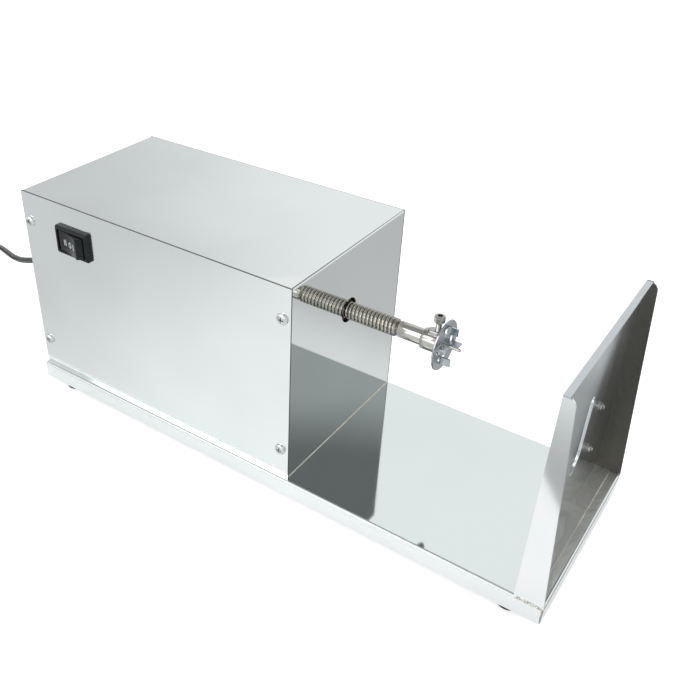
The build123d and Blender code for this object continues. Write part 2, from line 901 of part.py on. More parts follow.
def knife_nuts():
    face = stand_back + washer_thickness
    nuts = []
    for z in bolt_heights:
        nut = extrude(Plane.YZ.offset(face) * Pos(bolt_y, z) * hexagon(nut_flats), nut_height)
        nuts.append(nut - rod_x(face - past, face + nut_height + past, bolt_y, z, thread_diameter))
    return group(nuts)


# ---- carriage: slides along X on the rods ----


def carriage_plate():
    x = (carriage_x, carriage_x + carriage_thickness)
    y = (rod_sides[0] - plate_margin, rod_sides[1] + plate_margin)
    plate = box(x, y, (rod_height - plate_margin, axis_z + plate_over_axis))
    plate = fillet(plate.edges().filter_by(Axis.X), plate_corner)
    cut = (x[0] - past, x[1] + past)
    holes = [rod_x(*cut, axis_y, axis_z, plate_bore)]
    holes += [rod_x(*cut, side, rod_height, bush_diameter) for side in rod_sides]
    holes += [rod_x(*cut, *place, thread_diameter) for place in gearbox_screw_places]
    return without(plate, holes)


def slide_bushes():
    bushes = []
    middle = carriage_x + carriage_thickness / 2
    reach = (middle - bush_length / 2, middle + bush_length / 2)
    face = carriage_x + carriage_thickness
    for y in rod_sides:
        bush = rod_x(*reach, y, rod_height, bush_diameter)
        collar = rod_x(face, face + bush_collar_length, y, rod_height, bush_collar_diameter)
        bore = rod_x(reach[0] - past, reach[1] + past, y, rod_height, rod_diameter + 2 * slide_gap)
        bushes.append(bush + collar - bore)
    return group(bushes)


def gearbox():
    half = gearbox_side / 2
    body = box(gearbox_x, (axis_y - half, axis_y + half), (axis_z - half, axis_z + half))
    body = fillet(body.edges().filter_by(Axis.X), gearbox_corner)
    end = carriage_x + past
    socket_start = carriage_x - shaft_in_gearbox - shaft_end_gap
    socket = rod_x(socket_start, end, axis_y, axis_z, shaft_diameter + 2 * running_gap)
    cut = (carriage_x - gearbox_screw_depth - past, end)
    return without(body, [socket] + [rod_x(*cut, *place, thread_diameter) for place in gearbox_screw_places])


def gearbox_screws():
    screws = []
    face = carriage_x + carriage_thickness
    for place in gearbox_screw_places:
        head = rod_x(face, face + gearbox_head_height, *place, gearbox_head_diameter)
        screws.append(head + rod_x(carriage_x - gearbox_screw_depth, face, *place, thread_diameter))
    return group(screws)


def motor_can():
    return rod_x(*motor_x, axis_y, axis_z, motor_diameter)


def motor_cap():
    end = motor_x[0] - cap_length
    cap = rod_x(end, motor_x[0], axis_y, axis_z, motor_diameter + 2 * cap_rim)
    cap = fillet(cap.edges().filter_by(GeomType.CIRCLE).sort_by(Axis.X)[0], cap_round)
    vents = []
    for n in range(cap_vents):
        turn = radians(360 * n / cap_vents)
        y = axis_y + cap_vent_circle / 2 * cos(turn)
        z = axis_z + cap_vent_circle / 2 * sin(turn)
        vents.append(rod_x(end - past, end + cap_vent_depth, y, z, cap_vent_diameter))
    return without(cap, vents)


def limit_striker():
    """Tab hanging under the carriage plate between the two limit switches."""
    x = (striker_middle - striker_thickness / 2, striker_middle + striker_thickness / 2)
    y = (axis_y - striker_width / 2, axis_y + striker_width / 2)
    return box(x, y, (limit_z[0] + striker_over_block, rod_height - plate_margin))


# ---- spindle: turns on the carriage ----


def output_shaft():
    return rod_x(carriage_x - shaft_in_gearbox, screw_start, axis_y, axis_z, shaft_diameter)


def shaft_coupling():
    body = rod_x(*coupling_x, axis_y, axis_z, coupling_diameter)
    body = body - rod_x(coupling_x[0] - past, screw_start, axis_y, axis_z, shaft_diameter)
    body = body - rod_x(screw_start, coupling_x[1] + past, axis_y, axis_z, screw_diameter)
    top = axis_z + coupling_diameter / 2 + past
    return body - rod_z(axis_z, top, coupling_x[1] - coupling_screw_inset, axis_y, thread_diameter)


def coupling_screw():
    low = axis_z + screw_diameter / 2
    high = axis_z + coupling_diameter / 2 - coupling_screw_sunk
    return rod_z(low, high, coupling_x[1] - coupling_screw_inset, axis_y, thread_diameter)


def lead_screw():
    """Screw at its crest diameter, then the plain shank that carries the chuck."""
    thread = rod_x(screw_start, thread_end, axis_y, axis_z, screw_diameter)
    return thread + rod_x(thread_end, shank_end, axis_y, axis_z, shank_diameter)


def chuck_hub():
    """Hub on the screw's shank, with an oblong boss on top for the clamp bolt."""
    hub = rod_x(hub_start, hub_end, axis_y, axis_z, hub_diameter)
    low = axis_z + boss_root
    top = axis_z + hub_diameter / 2 + boss_height
    far = clamp_x - boss_length
    boss = box((far, clamp_x), (axis_y - boss_width / 2, axis_y + boss_width / 2), (low, top))
    boss += rod_z(low, top, far, axis_y, boss_width)
    boss += rod_z(low, top, clamp_x, axis_y, boss_width)
    boss = boss & box((hub_start, hub_end), (axis_y - boss_width, axis_y + boss_width), (low, top))
    bore = rod_x(hub_start - past, shank_end, axis_y, axis_z, shank_diameter)
    pin = rod_x(shank_end - past, hub_end + past, axis_y, axis_z, pin_diameter)
    thread = thread_diameter + 2 * running_gap
    return hub + boss - bore - pin - rod_z(axis_z, top + past, clamp_x, axis_y, thread)


def fork_disc():
    """Disc with four windows, whose tabs are bent forward as prongs in a pinwheel."""
    disc = rod_x(hub_end, disc_face, axis_y, axis_z, disc_diameter)
    cut = (hub_end - past, disc_face + past)
    half = prong_width / 2
    tall = (window_centre - half, window_centre + half)
    cuts = []
    prongs = []
    for n in range(4):
        turn = Pos(0, axis_y, axis_z) * Rot(90 * n, 0, 0)
        cuts.append(turn * box(cut, (-half, half), tall))
        prong = box((hub_end, disc_face + prong_length), (half, half + disc_thickness), tall)
        prongs.append(turn * prong)
    spare = spare_hole_centre * sqrt(0.5)
    cuts.append(rod_x(*cut, axis_y - spare, axis_z - spare, spare_hole))
    cuts.append(rod_x(*cut, axis_y, axis_z, pin_diameter))
    return joined([without(disc, cuts)] + prongs)


def centre_pin():
    pin = rod_x(shank_end, disc_face + pin_past_disc, axis_y, axis_z, pin_diameter)
    tip = pin.edges().filter_by(GeomType.CIRCLE).sort_by(Axis.X)[-1]
    return chamfer(tip, pin_point)


def clamp_bolt():
    low = axis_z + shank_diameter / 2
    shank = rod_z(low, clamp_under_head, clamp_x, axis_y, thread_diameter)
    top = clamp_under_head + clamp_head_height
    head = rod_z(clamp_under_head, top, clamp_x, axis_y, clamp_head_diameter)
    rim = head.edges().filter_by(GeomType.CIRCLE).sort_by(Axis.Z)[-1]
    head = chamfer(rim, clamp_head_chamfer)
    floor = top - clamp_socket_depth
    socket = extrude(Pos(clamp_x, axis_y, floor) * hexagon(clamp_socket_flats), clamp_socket_depth + past)
    return head + shank - socket


# ---- mains cord: a free stretch from the gland, then a put-away coil with its plug ----
coil_outer_radius = coil_inner_radius + coil_pitch * quarters_in / 4
coil_centre = (coil_x, coil_start_y - coil_outer_radius)
coil_lead = cord_diameter
cord_route = [
    gland_mouth,
    (-334.0, gland_y, gland_z),
    (-400.0, -4.0, 60.0),
    (-482.0, 36.0, 32.0),
    (-540.0, coil_start_y, cord_floor),
    (coil_x + coil_lead, coil_start_y, cord_floor),
]


def corner_radii(route):
    """A radius for each inner corner: 0.45 of the shorter run over the tangent of half the turn."""
    radii = []
    for before, here, after in zip(route, route[1:], route[2:]):
        one = Vector(*here) - Vector(*before)
        two = Vector(*after) - Vector(*here)
        half_turn = radians(one.get_angle(two)) / 2
        radii.append(round(0.45 * min(one.length, two.length) / tan(half_turn), 2))
    return radii


def tube_along(path):
    start = path @ 0
    plane = Plane(origin=start, z_dir=path % 0)
    return sweep(plane * Circle(cord_diameter / 2), path=path)


def mains_cord():
    radii = corner_radii(cord_route)
    print("cord corner radii", radii)
    path = FilletPolyline(*cord_route, radius=radii)
    tube = tube_along(path)
    expected = path.length * pi * cord_diameter**2 / 4
    print("cord length", round(path.length, 1), "volume over section x length", tube.volume / expected)
    return tube


def coil_point(quarter):
    """Place and direction of the coil's centre line, counted in quarter turns from its start."""
    turn = radians(90 + 90 * quarter)
    from_middle = quarter - quarters_in
    radius = coil_inner_radius + coil_pitch * abs(from_middle) / 4
    slope = 0.0
    if from_middle:
        slope = coil_pitch / (2 * pi) * (1 if from_middle > 0 else -1)
    climb = min(max(from_middle / 2 + 0.5, 0.0), 1.0)
    height = cord_floor + coil_pitch * (1 - cos(pi * climb)) / 2
    rise = coil_pitch / 2 * sin(pi * climb)
    place = Vector(
        coil_centre[0] + radius * cos(turn),
        coil_centre[1] + radius * sin(turn),
        height,
    )
    way = Vector(
        slope * cos(turn) - radius * sin(turn),
        slope * sin(turn) + radius * cos(turn),
        rise,
    )
    if quarter == 0:
        way = Vector(-1, 0, 0)
    return place, way.normalized()


def biarc(start, start_way, end, end_way):
    """Two arcs that leave and arrive in the given directions and meet smoothly."""
    span = end - start
    both = start_way + end_way
    across = 2 * (1 - start_way.dot(end_way))
    along = span.dot(both)
    reach = (-along + sqrt(along**2 + across * span.dot(span))) / across
    one = start + start_way * reach
    two = end - end_way * reach
    middle = (one + two) * 0.5
    first = TangentArc(start, middle, tangent=start_way)
    second = TangentArc(middle, end, tangent=two - one)
    return [first, second]


def coil_edges():
    stations = [coil_point(n) for n in range(quarters_in + quarters_out + 1)]
    first_place, first_way = stations[0]
    edges = [Line(first_place - first_way * coil_lead, first_place)]
    for here, there in zip(stations, stations[1:]):
        edges += biarc(*here, *there)
    last_place, last_way = stations[-1]
    edges.append(Line(last_place, last_place + last_way * coil_lead))
    return edges


def least_gap(edges):
    """Least distance between turns of the coil, measured between points along its line."""
    points = []
    travelled = 0.0
    for edge in edges:
        for n in range(gap_steps):
            points.append((travelled + edge.length * n / gap_steps, edge @ (n / gap_steps)))
        travelled += edge.length
    closest = 1e9
    for i, (along, place) in enumerate(points):
        for other_along, other in points[i + 1 :]:
            if other_along - along > 8 * cord_diameter:
                closest = min(closest, (other - place).length)
    return closest - cord_diameter


def cord_coil():
    edges = coil_edges()
    path = Wire([edge if isinstance(edge, Edge) else edge.edge() for edge in edges])
    tube = tube_along(path)
    expected = path.length * pi * cord_diameter**2 / 4
    print("coil length", round(path.length, 1), "volume over section x length", tube.volume / expected)
    print("coil least gap to itself", round(least_gap(edges), 2))
    return tube


def plug_plane():
    """Where the plug starts: at the end of the coil, looking along the cord."""
    place, way = coil_point(quarters_in + quarters_out)
    return place + way * coil_lead, way


def plug_body():
    """Plug lying on the floor: a tapered strain relief into a block with rounded corners."""
    start, way = plug_plane()
    plane = Plane(origin=start, x_dir=way.cross(Vector(0, 0, 1)), z_dir=way)
    taper = Cone(relief_start_diameter / 2, relief_end_diameter / 2, relief_length)
    relief = plane * Pos(0, 0, relief_length / 2) * taper
    middle = relief_length - relief_overlap + plug_length / 2
    block = plane * Pos(0, 0, middle) * Box(plug_width, 2 * start.Z, plug_length)
    block = fillet(block.edges().filter_by(lambda e: abs((e % 0.5).dot(way)) > 0.99), plug_corner)
    return block + relief


def plug_pins():
    start, way = plug_plane()
    plane = Plane(origin=start, x_dir=way.cross(Vector(0, 0, 1)), z_dir=way)
    face = relief_length - relief_overlap + plug_length
    blade_at = face + blade_length / 2
    blade = Box(blade_thickness, blade_width, blade_length)
    pins = [plane * Pos(side * blade_spread / 2, blade_raise, blade_at) * blade for side in (-1, 1)]
    earth = Cylinder(earth_pin_diameter / 2, earth_pin_length)
    pins.append(plane * Pos(0, -earth_pin_drop, face + earth_pin_length / 2) * earth)
    return group(pins)


def side_screws(face, way):
    return group([pan_screw(x, z, face, way) for x, z in side_screw_places])


write("base_tray", base_tray())
write("foot_plates", foot_plates())
write("rubber_feet", rubber_feet())
write("foot_screws", foot_screws())
write("foot_nuts", foot_nuts())
write("deck_screws", deck_screws())
write("deck_nuts", deck_nuts())
write("housing_wrap", housing_wrap())
write("front_side_panel", front_side_panel())
write("rear_side_panel", side_panel(housing_back, housing_back - housing_sheet))
write("front_panel_screws", side_screws(housing_front, -1))
write("rear_panel_screws", side_screws(housing_back, 1))
write("panel_nuts", panel_nuts())
write("support_plate", support_plate())
write("lead_nut", lead_nut())
write("lead_nut_screws", lead_nut_screws())
write("guide_rods", guide_rods())
write("rod_pedestals", rod_pedestals())
write("limit_blocks", limit_blocks())
write("limit_switches", limit_switches())
write("front_limit_plunger", limit_plunger(*limit_ends[0]))
write("rear_limit_plunger", limit_plunger(*limit_ends[1]))
write("run_capacitor", run_capacitor())
write("capacitor_strap", capacitor_strap())
write("terminal_block", terminal_block())
write("switch_body", switch_body())
write("switch_rocker", switch_rocker())
write("switch_terminals", switch_terminals())
write("cable_gland", cable_gland())
write("gland_nut", gland_nut())
write("blade_stand", blade_stand())
write("spiral_knife", spiral_knife())
write("knife_bolts", knife_bolts())
write("knife_washers", knife_washers())
write("knife_nuts", knife_nuts())
write("carriage_plate", carriage_plate())
write("slide_bushes", slide_bushes())
write("gearbox", gearbox())
write("gearbox_screws", gearbox_screws())
write("motor_can", motor_can())
write("motor_cap", motor_cap())
write("limit_striker", limit_striker())
write("output_shaft", output_shaft())
write("shaft_coupling", shaft_coupling())
write("coupling_screw", coupling_screw())
write("lead_screw", lead_screw())
write("chuck_hub", chuck_hub())
write("fork_disc", fork_disc())
write("centre_pin", centre_pin())
write("clamp_bolt", clamp_bolt())
write("mains_cord", mains_cord())
write("cord_coil", cord_coil())
write("plug_body", plug_body())
write("plug_pins", plug_pins())
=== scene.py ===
"""Dresses the tornado potato cutter: steel, screw thread, chuck, switch, welds, cord and studio."""

from math import cos, pi, radians, sin, sqrt

import bmesh
import bpy
from mathutils import Matrix, Vector


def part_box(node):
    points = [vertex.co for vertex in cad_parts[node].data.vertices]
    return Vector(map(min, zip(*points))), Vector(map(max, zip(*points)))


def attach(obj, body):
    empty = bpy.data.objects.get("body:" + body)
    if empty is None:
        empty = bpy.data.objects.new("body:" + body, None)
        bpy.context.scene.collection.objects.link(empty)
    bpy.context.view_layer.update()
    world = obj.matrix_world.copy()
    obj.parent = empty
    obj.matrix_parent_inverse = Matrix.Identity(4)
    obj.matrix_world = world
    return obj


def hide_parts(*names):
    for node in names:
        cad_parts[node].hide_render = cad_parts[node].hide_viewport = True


bl_info = {
    "name": "Tornado potato cutter",
    "version": (1, 0, 0),
    "blender": (4, 5, 0),
    "location": "3D View > Sidebar > Cutter",
    "description": "Builds a motor-driven spiral potato cutter over its CAD frame",
    "category": "Object",
}

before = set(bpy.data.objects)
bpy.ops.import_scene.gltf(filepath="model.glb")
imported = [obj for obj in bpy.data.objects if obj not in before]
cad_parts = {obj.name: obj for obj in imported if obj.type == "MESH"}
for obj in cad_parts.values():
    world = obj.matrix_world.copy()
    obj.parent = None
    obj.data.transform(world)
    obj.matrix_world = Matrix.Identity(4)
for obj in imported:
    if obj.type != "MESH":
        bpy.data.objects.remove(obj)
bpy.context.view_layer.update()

MM = 0.001
X, Y, Z = (1, 0, 0), (0, 1, 0), (0, 0, 1)
WHITE = (1.0, 1.0, 1.0, 1.0)
MATERIALS = {}


def length(name, description, millimetres):
    return bpy.props.FloatProperty(
        name=name, description=description, default=millimetres * MM, unit="LENGTH",
        subtype="DISTANCE",
    )


def tint(name, description, default):
    return bpy.props.FloatVectorProperty(
        name=name, description=description, default=default, subtype="COLOR", min=0.0, max=1.0
    )


class CutterSettings(bpy.types.PropertyGroup):
    """Sizes and finishes that can be changed before the object is built."""

    axis_y: length("Axis Y", "Where the screw axis stands across the base", 2.0)
    axis_z: length("Axis height", "Height of the screw axis over the floor", 151.0)
    pitch: length("Thread pitch", "Travel of the screw in one turn", 3.5)
    crest: length("Crest diameter", "Outside diameter of the thread", 15.4)
    root: length("Root diameter", "Diameter between the thread's turns", 12.2)
    shank: length("Shank diameter", "Diameter of the plain end of the screw", 14.0)
    thread_end: length("Thread end", "Where the thread runs out", 83.0)
    hub: length("Hub diameter", "Outside diameter of the chuck's hub", 18.0)
    disc: length("Disc diameter", "Outside diameter of the pronged disc", 43.0)
    disc_sheet: length("Disc thickness", "Thickness of the pronged disc", 1.5)
    prong_width: length("Prong width", "Width of each bent prong", 7.0)
    prong_length: length("Prong length", "How far each prong stands out of the disc", 7.9)
    window_centre: length("Window centre", "Distance of each window from the axis", 12.3)
    bead: length("Weld bead", "Width of the weld beads", 2.6)
    cord: length("Cord diameter", "Diameter of the mains cord", 6.5)
    steel_roughness: bpy.props.FloatProperty(
        name="Steel roughness", description="Roughness of the polished sheet", default=0.10
    )
    sheet_tint: tint(
        "Sheet tint", "Colour of the housing's and the base's sheet", (0.80, 0.82, 0.82)
    )
    deck_tint: tint(
        "Deck tint", "Colour of the deck between housing and stand", (0.735, 0.80, 0.79)
    )
    stand_tint: tint("Stand tint", "Colour of the stand's plate", (0.56, 0.60, 0.62))
    # painted shade: the dark brown-grey laid on the stand's back flange to darken it
    back_flange_shade_tint: tint(
        "Flange shade tint", "Painted shade on the stand's welded back flange", (0.115, 0.11, 0.10)
    )
    cloud_tint: tint("Cloud tint", "Clouded strip of deck behind the stand", (0.62, 0.62, 0.59))
    plastic_tint: tint("Plastic tint", "Colour of the switch's mouldings", (0.005, 0.007, 0.008))
    cord_tint: tint("Cord tint", "Colour of the cord and the plug", (0.004, 0.004, 0.005))
    thread_steps: bpy.props.IntProperty(
        name="Thread steps", description="Faces round one turn of the thread", default=40
    )


def settings():
    return bpy.context.scene.cutter


# ---- mesh helpers ----


def mm(*points):
    """Points whose numbers are given in millimetres, in metres."""
    return [tuple(value * MM for value in point) for point in points]


def link(name, data):
    obj = bpy.data.objects.new(name, data)
    bpy.context.collection.objects.link(obj)
    return obj


def link_mesh(name, bm):
    """A new object from a bmesh, which is used up."""
    mesh = bpy.data.meshes.new(name)
    bm.to_mesh(mesh)
    bm.free()
    return link(name, mesh)


def claim(obj, slot, *nodes):
    """The piece takes the place of the CAD nodes that are named, which are hidden; the slot is not
    used.
    """
    if nodes:
        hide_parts(*nodes)


def piece(name, bm, body, material, slot, *nodes, angle=32):
    """Turns a bmesh into a piece that rides on a body, with smooth faces and sharp corners."""
    bmesh.ops.recalc_face_normals(bm, faces=bm.faces)
    obj = link_mesh(name, bm)
    obj.data.shade_smooth()
    obj.data.set_sharp_from_angle(angle=radians(angle))
    obj.data.materials.append(MATERIALS[material])
    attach(obj, body)
    claim(obj, slot, *nodes)
    return obj


def paint(material, *nodes):
    """Gives CAD nodes that stay one of the scene's materials."""
    for node in nodes:
        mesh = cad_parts[node].data
        mesh.materials.clear()
        mesh.materials.append(MATERIALS[material])


def join_into(bm, other):
    """Adds another bmesh to bm and frees it."""
    mesh = bpy.data.meshes.new("joined")
    other.to_mesh(mesh)
    other.free()
    bm.from_mesh(mesh)
    bpy.data.meshes.remove(mesh)


def bevel(bm, edges, width, segments):
    bmesh.ops.bevel(
        bm, geom=edges, offset=width, segments=segments, profile=0.5, affect="EDGES", material=-1,
        clamp_overlap=True,
    )


def soften(bm, width, segments=2, angle=40):
    """Rounds every edge sharper than an angle."""
    bmesh.ops.dissolve_limit(
        bm, angle_limit=radians(1), use_dissolve_boundaries=False, verts=bm.verts, edges=bm.edges
    )
    sharp = [
        edge
        for edge in bm.edges
        if len(edge.link_faces) == 2 and edge.calc_face_angle(0) > radians(angle)
    ]
    bevel(bm, sharp, width, segments)


def box_into(bm, low, high, rounding=0.0):
    """Adds a box between two corners, with its edges rounded."""
    low, high = Vector(low), Vector(high)
    verts = bmesh.ops.create_cube(bm, size=1.0)["verts"]
    bmesh.ops.scale(bm, vec=high - low, verts=verts)
    bmesh.ops.translate(bm, vec=(low + high) / 2, verts=verts)
    if rounding:
        edges = dict.fromkeys(edge for vert in verts for edge in vert.link_edges)
        bevel(bm, list(edges), rounding, 2)


def lathe_into(bm, profile, centre, axis, steps=48):
    """Spins (along, radius) points about X or Z, with along counted from centre."""
    from_origin = sum(place * share for place, share in zip(centre, axis))
    foot = [place - from_origin * share for place, share in zip(centre, axis)]
    axis = Vector(axis)
    side = axis.orthogonal().normalized()
    shape = bmesh.new()
    verts = [
        shape.verts.new(Vector(foot) + axis * (from_origin + along) + side * radius)
        for along, radius in profile
    ]
    edges = [shape.edges.new(pair) for pair in zip(verts, verts[1:])]
    bmesh.ops.spin(
        shape, geom=verts + edges, cent=foot, axis=axis, angle=2 * pi, steps=steps,
        use_merge=True, use_duplicate=False,
    )
    bmesh.ops.remove_doubles(shape, verts=shape.verts, dist=1e-7)
    join_into(bm, shape)


def prism_into(bm, outline, origin, x_way, y_way, depth):
    """Extrudes a closed outline, drawn on two directions from origin, along their normal."""
    x_way, y_way, origin = Vector(x_way), Vector(y_way), Vector(origin)
    face = bm.faces.new([bm.verts.new(origin + x_way * x + y_way * y) for x, y in outline])
    grown = bmesh.ops.extrude_face_region(bm, geom=[face])
    moved = [item for item in grown["geom"] if isinstance(item, bmesh.types.BMVert)]
    bmesh.ops.translate(bm, vec=x_way.cross(y_way) * depth, verts=moved)


def loft_into(bm, loops, capped=True):
    """Bridges closed loops of points, in order, and closes both ends if asked."""
    rings = []
    for points in loops:
        verts = [bm.verts.new(point) for point in points]
        rings.append([bm.edges.new(pair) for pair in zip(verts, verts[1:] + verts[:1])])
    for here, there in zip(rings, rings[1:]):
        bmesh.ops.bridge_loops(bm, edges=here + there)
    if capped:
        for ring in (rings[0], rings[-1]):
            bmesh.ops.holes_fill(bm, edges=ring, sides=0)


def aim(bm, origin, way):
    """Moves a shape made along +Z so that it starts at origin and runs along way."""
    turn = Vector(way).to_track_quat("Z", "Y").to_matrix().to_4x4()
    bmesh.ops.transform(bm, matrix=Matrix.Translation(origin) @ turn, verts=bm.verts)


def carve(bm, tool):
    """bm with the tool's volume taken away. Both bmeshes are used up."""
    pair = []
    for name, part in (("carve_base", bm), ("carve_tool", tool)):
        bmesh.ops.recalc_face_normals(part, faces=part.faces)
        pair.append(link_mesh(name, part))
    base, cutter = pair
    modifier = base.modifiers.new("carve", "BOOLEAN")
    modifier.operation = "DIFFERENCE"
    modifier.solver = "EXACT"
    modifier.object = cutter
    bpy.context.view_layer.update()
    depsgraph = bpy.context.evaluated_depsgraph_get()
    result = bpy.data.meshes.new_from_object(base.evaluated_get(depsgraph))
    if not result.polygons:
        raise RuntimeError("a cut left nothing")
    carved = bmesh.new()
    carved.from_mesh(result)
    meshes = [result] + [obj.data for obj in pair]
    for obj in pair:
        bpy.data.objects.remove(obj)
    for mesh in meshes:
        bpy.data.meshes.remove(mesh)
    return carved


def ring_points(radius, count, start=0.0):
    turns = [start + 2 * pi * n / count for n in range(count)]
    return [(radius * cos(turn), radius * sin(turn)) for turn in turns]


def rounded_rectangle(width, height, radius, steps=5):
    """Outline of a rectangle with round corners, anticlockwise."""
    points = []
    for n, (sx, sy) in enumerate(((1, 1), (-1, 1), (-1, -1), (1, -1))):
        for step in range(steps + 1):
            turn = pi / 2 * (n + step / steps)
            x = sx * (width / 2 - radius) + radius * cos(turn)
            y = sy * (height / 2 - radius) + radius * sin(turn)
            points.append((x, y))
    return points


def bead_into(bm, start, end, width, up, count=None):
    """A weld bead as overlapping flattened ripples, a little uneven, from start to end."""
    start, end, up = Vector(start), Vector(end), Vector(up).normalized()
    way = (end - start).normalized()
    across = way.cross(up)
    turn = Matrix((way, across, up)).transposed().to_4x4()
    total = (end - start).length
    count = count or max(3, round(total / (0.38 * width)))
    for n in range(count):
        verts = bmesh.ops.create_uvsphere(bm, u_segments=14, v_segments=8, radius=0.5)["verts"]
        swell = 1 + 0.16 * sin(2.4 * n) + 0.07 * sin(5.1 * n + 1)
        size = Vector((0.72 * width, width * swell, 0.62 * width * swell))
        bmesh.ops.scale(bm, vec=size, verts=verts)
        place = start + way * total * (n + 0.5) / count
        place += across * (0.05 * width * sin(3.3 * n)) + up * (0.035 * width * sin(1.7 * n))
        bmesh.ops.transform(bm, matrix=Matrix.Translation(place) @ turn, verts=verts)


# ---- material helpers ----


def add_node(tree, kind, inputs=None, **options):
    """A new node with its options, and with each input set or linked."""
    node = tree.nodes.new(kind)
    for name, value in options.items():
        setattr(node, name, value)
    for socket, value in (inputs or {}).items():
        if isinstance(value, bpy.types.NodeSocket):
            tree.links.new(value, node.inputs[socket])
        else:
            node.inputs[socket].default_value = value
    return node


def add_math(tree, operation, *values):
    node = add_node(tree, "ShaderNodeMath", dict(enumerate(values)), operation=operation)
    return node.outputs["Value"]


def triple(value):
    """A colour as it is, and a number as a grey."""
    return (value,) * 3 if isinstance(value, float) else tuple(value)


def scaled(color, by):
    return tuple(by * channel for channel in color)


def stretch(axes, across):
    """A texture's scales: 1 along some axes, and another value across them."""
    return tuple(1.0 if axis in axes else across for axis in "XYZ")


class Finish:
    """A Principled material with object coordinates and short ways to add texture."""

    def __init__(self, name, color, metallic=0.0, roughness=0.5):
        self.material = bpy.data.materials.new(name)
        self.material.use_nodes = True
        self.tree = self.material.node_tree
        self.shader = self.tree.nodes["Principled BSDF"]
        self.coords = add_node(self.tree, "ShaderNodeTexCoord").outputs["Object"]
        self.set("Base Color", (*color, 1.0))
        self.set("Metallic", metallic)
        self.set("Roughness", roughness)
        self.height = None
        self.sources = {}

    def set(self, socket, value):
        self.shader.inputs[socket].default_value = value

    def noise(self, scale, scales=(1, 1, 1), detail=3.0, roughness=0.5, distortion=0.0):
        inputs = {"Vector": self.coords, "Scale": scales}
        mapping = add_node(self.tree, "ShaderNodeMapping", inputs)
        inputs = {"Vector": mapping.outputs["Vector"], "Scale": scale, "Detail": detail}
        inputs.update({"Roughness": roughness, "Distortion": distortion})
        return add_node(self.tree, "ShaderNodeTexNoise", inputs).outputs["Fac"]

    def ramp(self, source, low, high, start=0.35, end=0.65):
        """Colours or values between low and high as source goes from start to end."""
        ramp = add_node(self.tree, "ShaderNodeValToRGB", {"Fac": source})
        for element, place, value in zip(ramp.color_ramp.elements, (start, end), (low, high)):
            element.position = place
            element.color = (*triple(value), 1.0)
        return ramp.outputs["Color"]

    def drive(self, socket, source):
        self.sources[socket] = source
        self.tree.links.new(source, self.shader.inputs[socket])

    def between(self, axis, low, high):
        """1 where the place along one axis is between two values, and 0 elsewhere."""
        split = add_node(self.tree, "ShaderNodeSeparateXYZ", {"Vector": self.coords})
        middle, reach = (low + high) / 2, (high - low) / 2
        return add_math(self.tree, "COMPARE", split.outputs[axis], middle, reach)

    def both(self, mask, other):
        return add_math(self.tree, "MULTIPLY", mask, other)

    def cover(self, socket, mask, source):
        """Puts another colour or value over what drives a socket, where the mask is 1."""
        if not isinstance(source, bpy.types.NodeSocket):
            source = (*triple(source), 1.0)
        inputs = {"Factor": mask, "A": self.sources[socket], "B": source}
        mix = add_node(self.tree, "ShaderNodeMix", inputs, data_type="RGBA")
        self.drive(socket, mix.outputs["Result"])

    def patch(self, mask, color, roughness):
        """Another colour and roughness where the mask is 1."""
        self.cover("Base Color", mask, color)
        self.cover("Roughness", mask, roughness)

    def bump(self, source, distance, strength=1.0):
        """Adds a layer of bump over what is there already."""
        inputs = {"Distance": distance, "Strength": strength, "Height": source}
        if self.height:
            inputs["Normal"] = self.height
        self.height = add_node(self.tree, "ShaderNodeBump", inputs).outputs["Normal"]
        self.tree.links.new(self.height, self.shader.inputs["Normal"])


def sheet_steel(name, color, roughness, grain, wave=0.00022):
    """Bright-annealed sheet: nearly a mirror, with slow waves, faint grain and handling haze."""
    finish = Finish(name, color, metallic=1.0, roughness=roughness)
    patches = finish.noise(7.0, detail=2.0)
    finish.drive("Base Color", finish.ramp(patches, scaled(color, 0.965), scaled(color, 1.03)))
    haze = finish.noise(26.0, stretch(grain, 0.05), detail=5.0, roughness=0.6)
    finish.drive("Roughness", finish.ramp(haze, roughness * 0.8, roughness * 1.35))
    finish.bump(finish.noise(5.0, detail=1.0), wave)
    finish.bump(finish.noise(900.0, stretch(grain, 0.05), detail=2.0), 0.0000035, 0.5)
    return finish


def panel_steel(s):
    """The side panels: a little duller than the end walls, with painted seam shade on their cut
    edges.
    """
    finish = sheet_steel("steel_panel", s.sheet_tint, s.steel_roughness, "X")
    thin = 0.05 * MM
    for axis in "XZ":
        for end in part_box("front_side_panel"):
            place = getattr(end, axis.lower())
            # painted seam shade: a thin dark, rough band on each cut edge face of the panel
            edge = finish.between(axis, place - thin, place + thin)
            finish.patch(edge, (0.105, 0.105, 0.10), 0.45)
    return finish


def cloud_cover(finish, mask, grey):
    """Swirls that wire brushing left on the sheet, where the mask is 1."""
    clouds = finish.noise(30.0, (1.3, 0.6, 1.0), roughness=0.55, distortion=1.6)
    swirls = finish.ramp(clouds, grey, scaled(grey, 1.5), 0.4, 0.6)
    finish.patch(mask, swirls, finish.ramp(clouds, 0.52, 0.36))


def tray_steel(s):
    """The base: a cool deck, clouded behind the stand, and a darker, rougher line at its front
    bend, which is painted dark reflection.
    """
    finish = sheet_steel("steel_tray", s.sheet_tint, 0.45 * s.steel_roughness, "X")
    low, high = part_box("base_tray")
    face, bend, lip = 0.1 * MM, 1.3 * MM, 2.4 * MM
    on_deck = finish.between("Z", high.z - face, high.z + face)
    waves = finish.noise(7.0, detail=2.0)
    cool = finish.ramp(waves, scaled(s.deck_tint, 0.97), s.deck_tint)
    finish.cover("Base Color", on_deck, cool)
    behind = finish.between("X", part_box("blade_stand")[0].x, high.x - lip)
    cloud_cover(finish, finish.both(behind, on_deck), s.cloud_tint)
    # painted dark reflection: the deck's front bend gets a darker colour and a rougher finish
    along_front = finish.between("Y", low.y, low.y + bend)
    at_top = finish.between("Z", high.z - bend, high.z + bend)
    finish.patch(finish.both(along_front, at_top), (0.50, 0.52, 0.52), 0.34)
    return finish


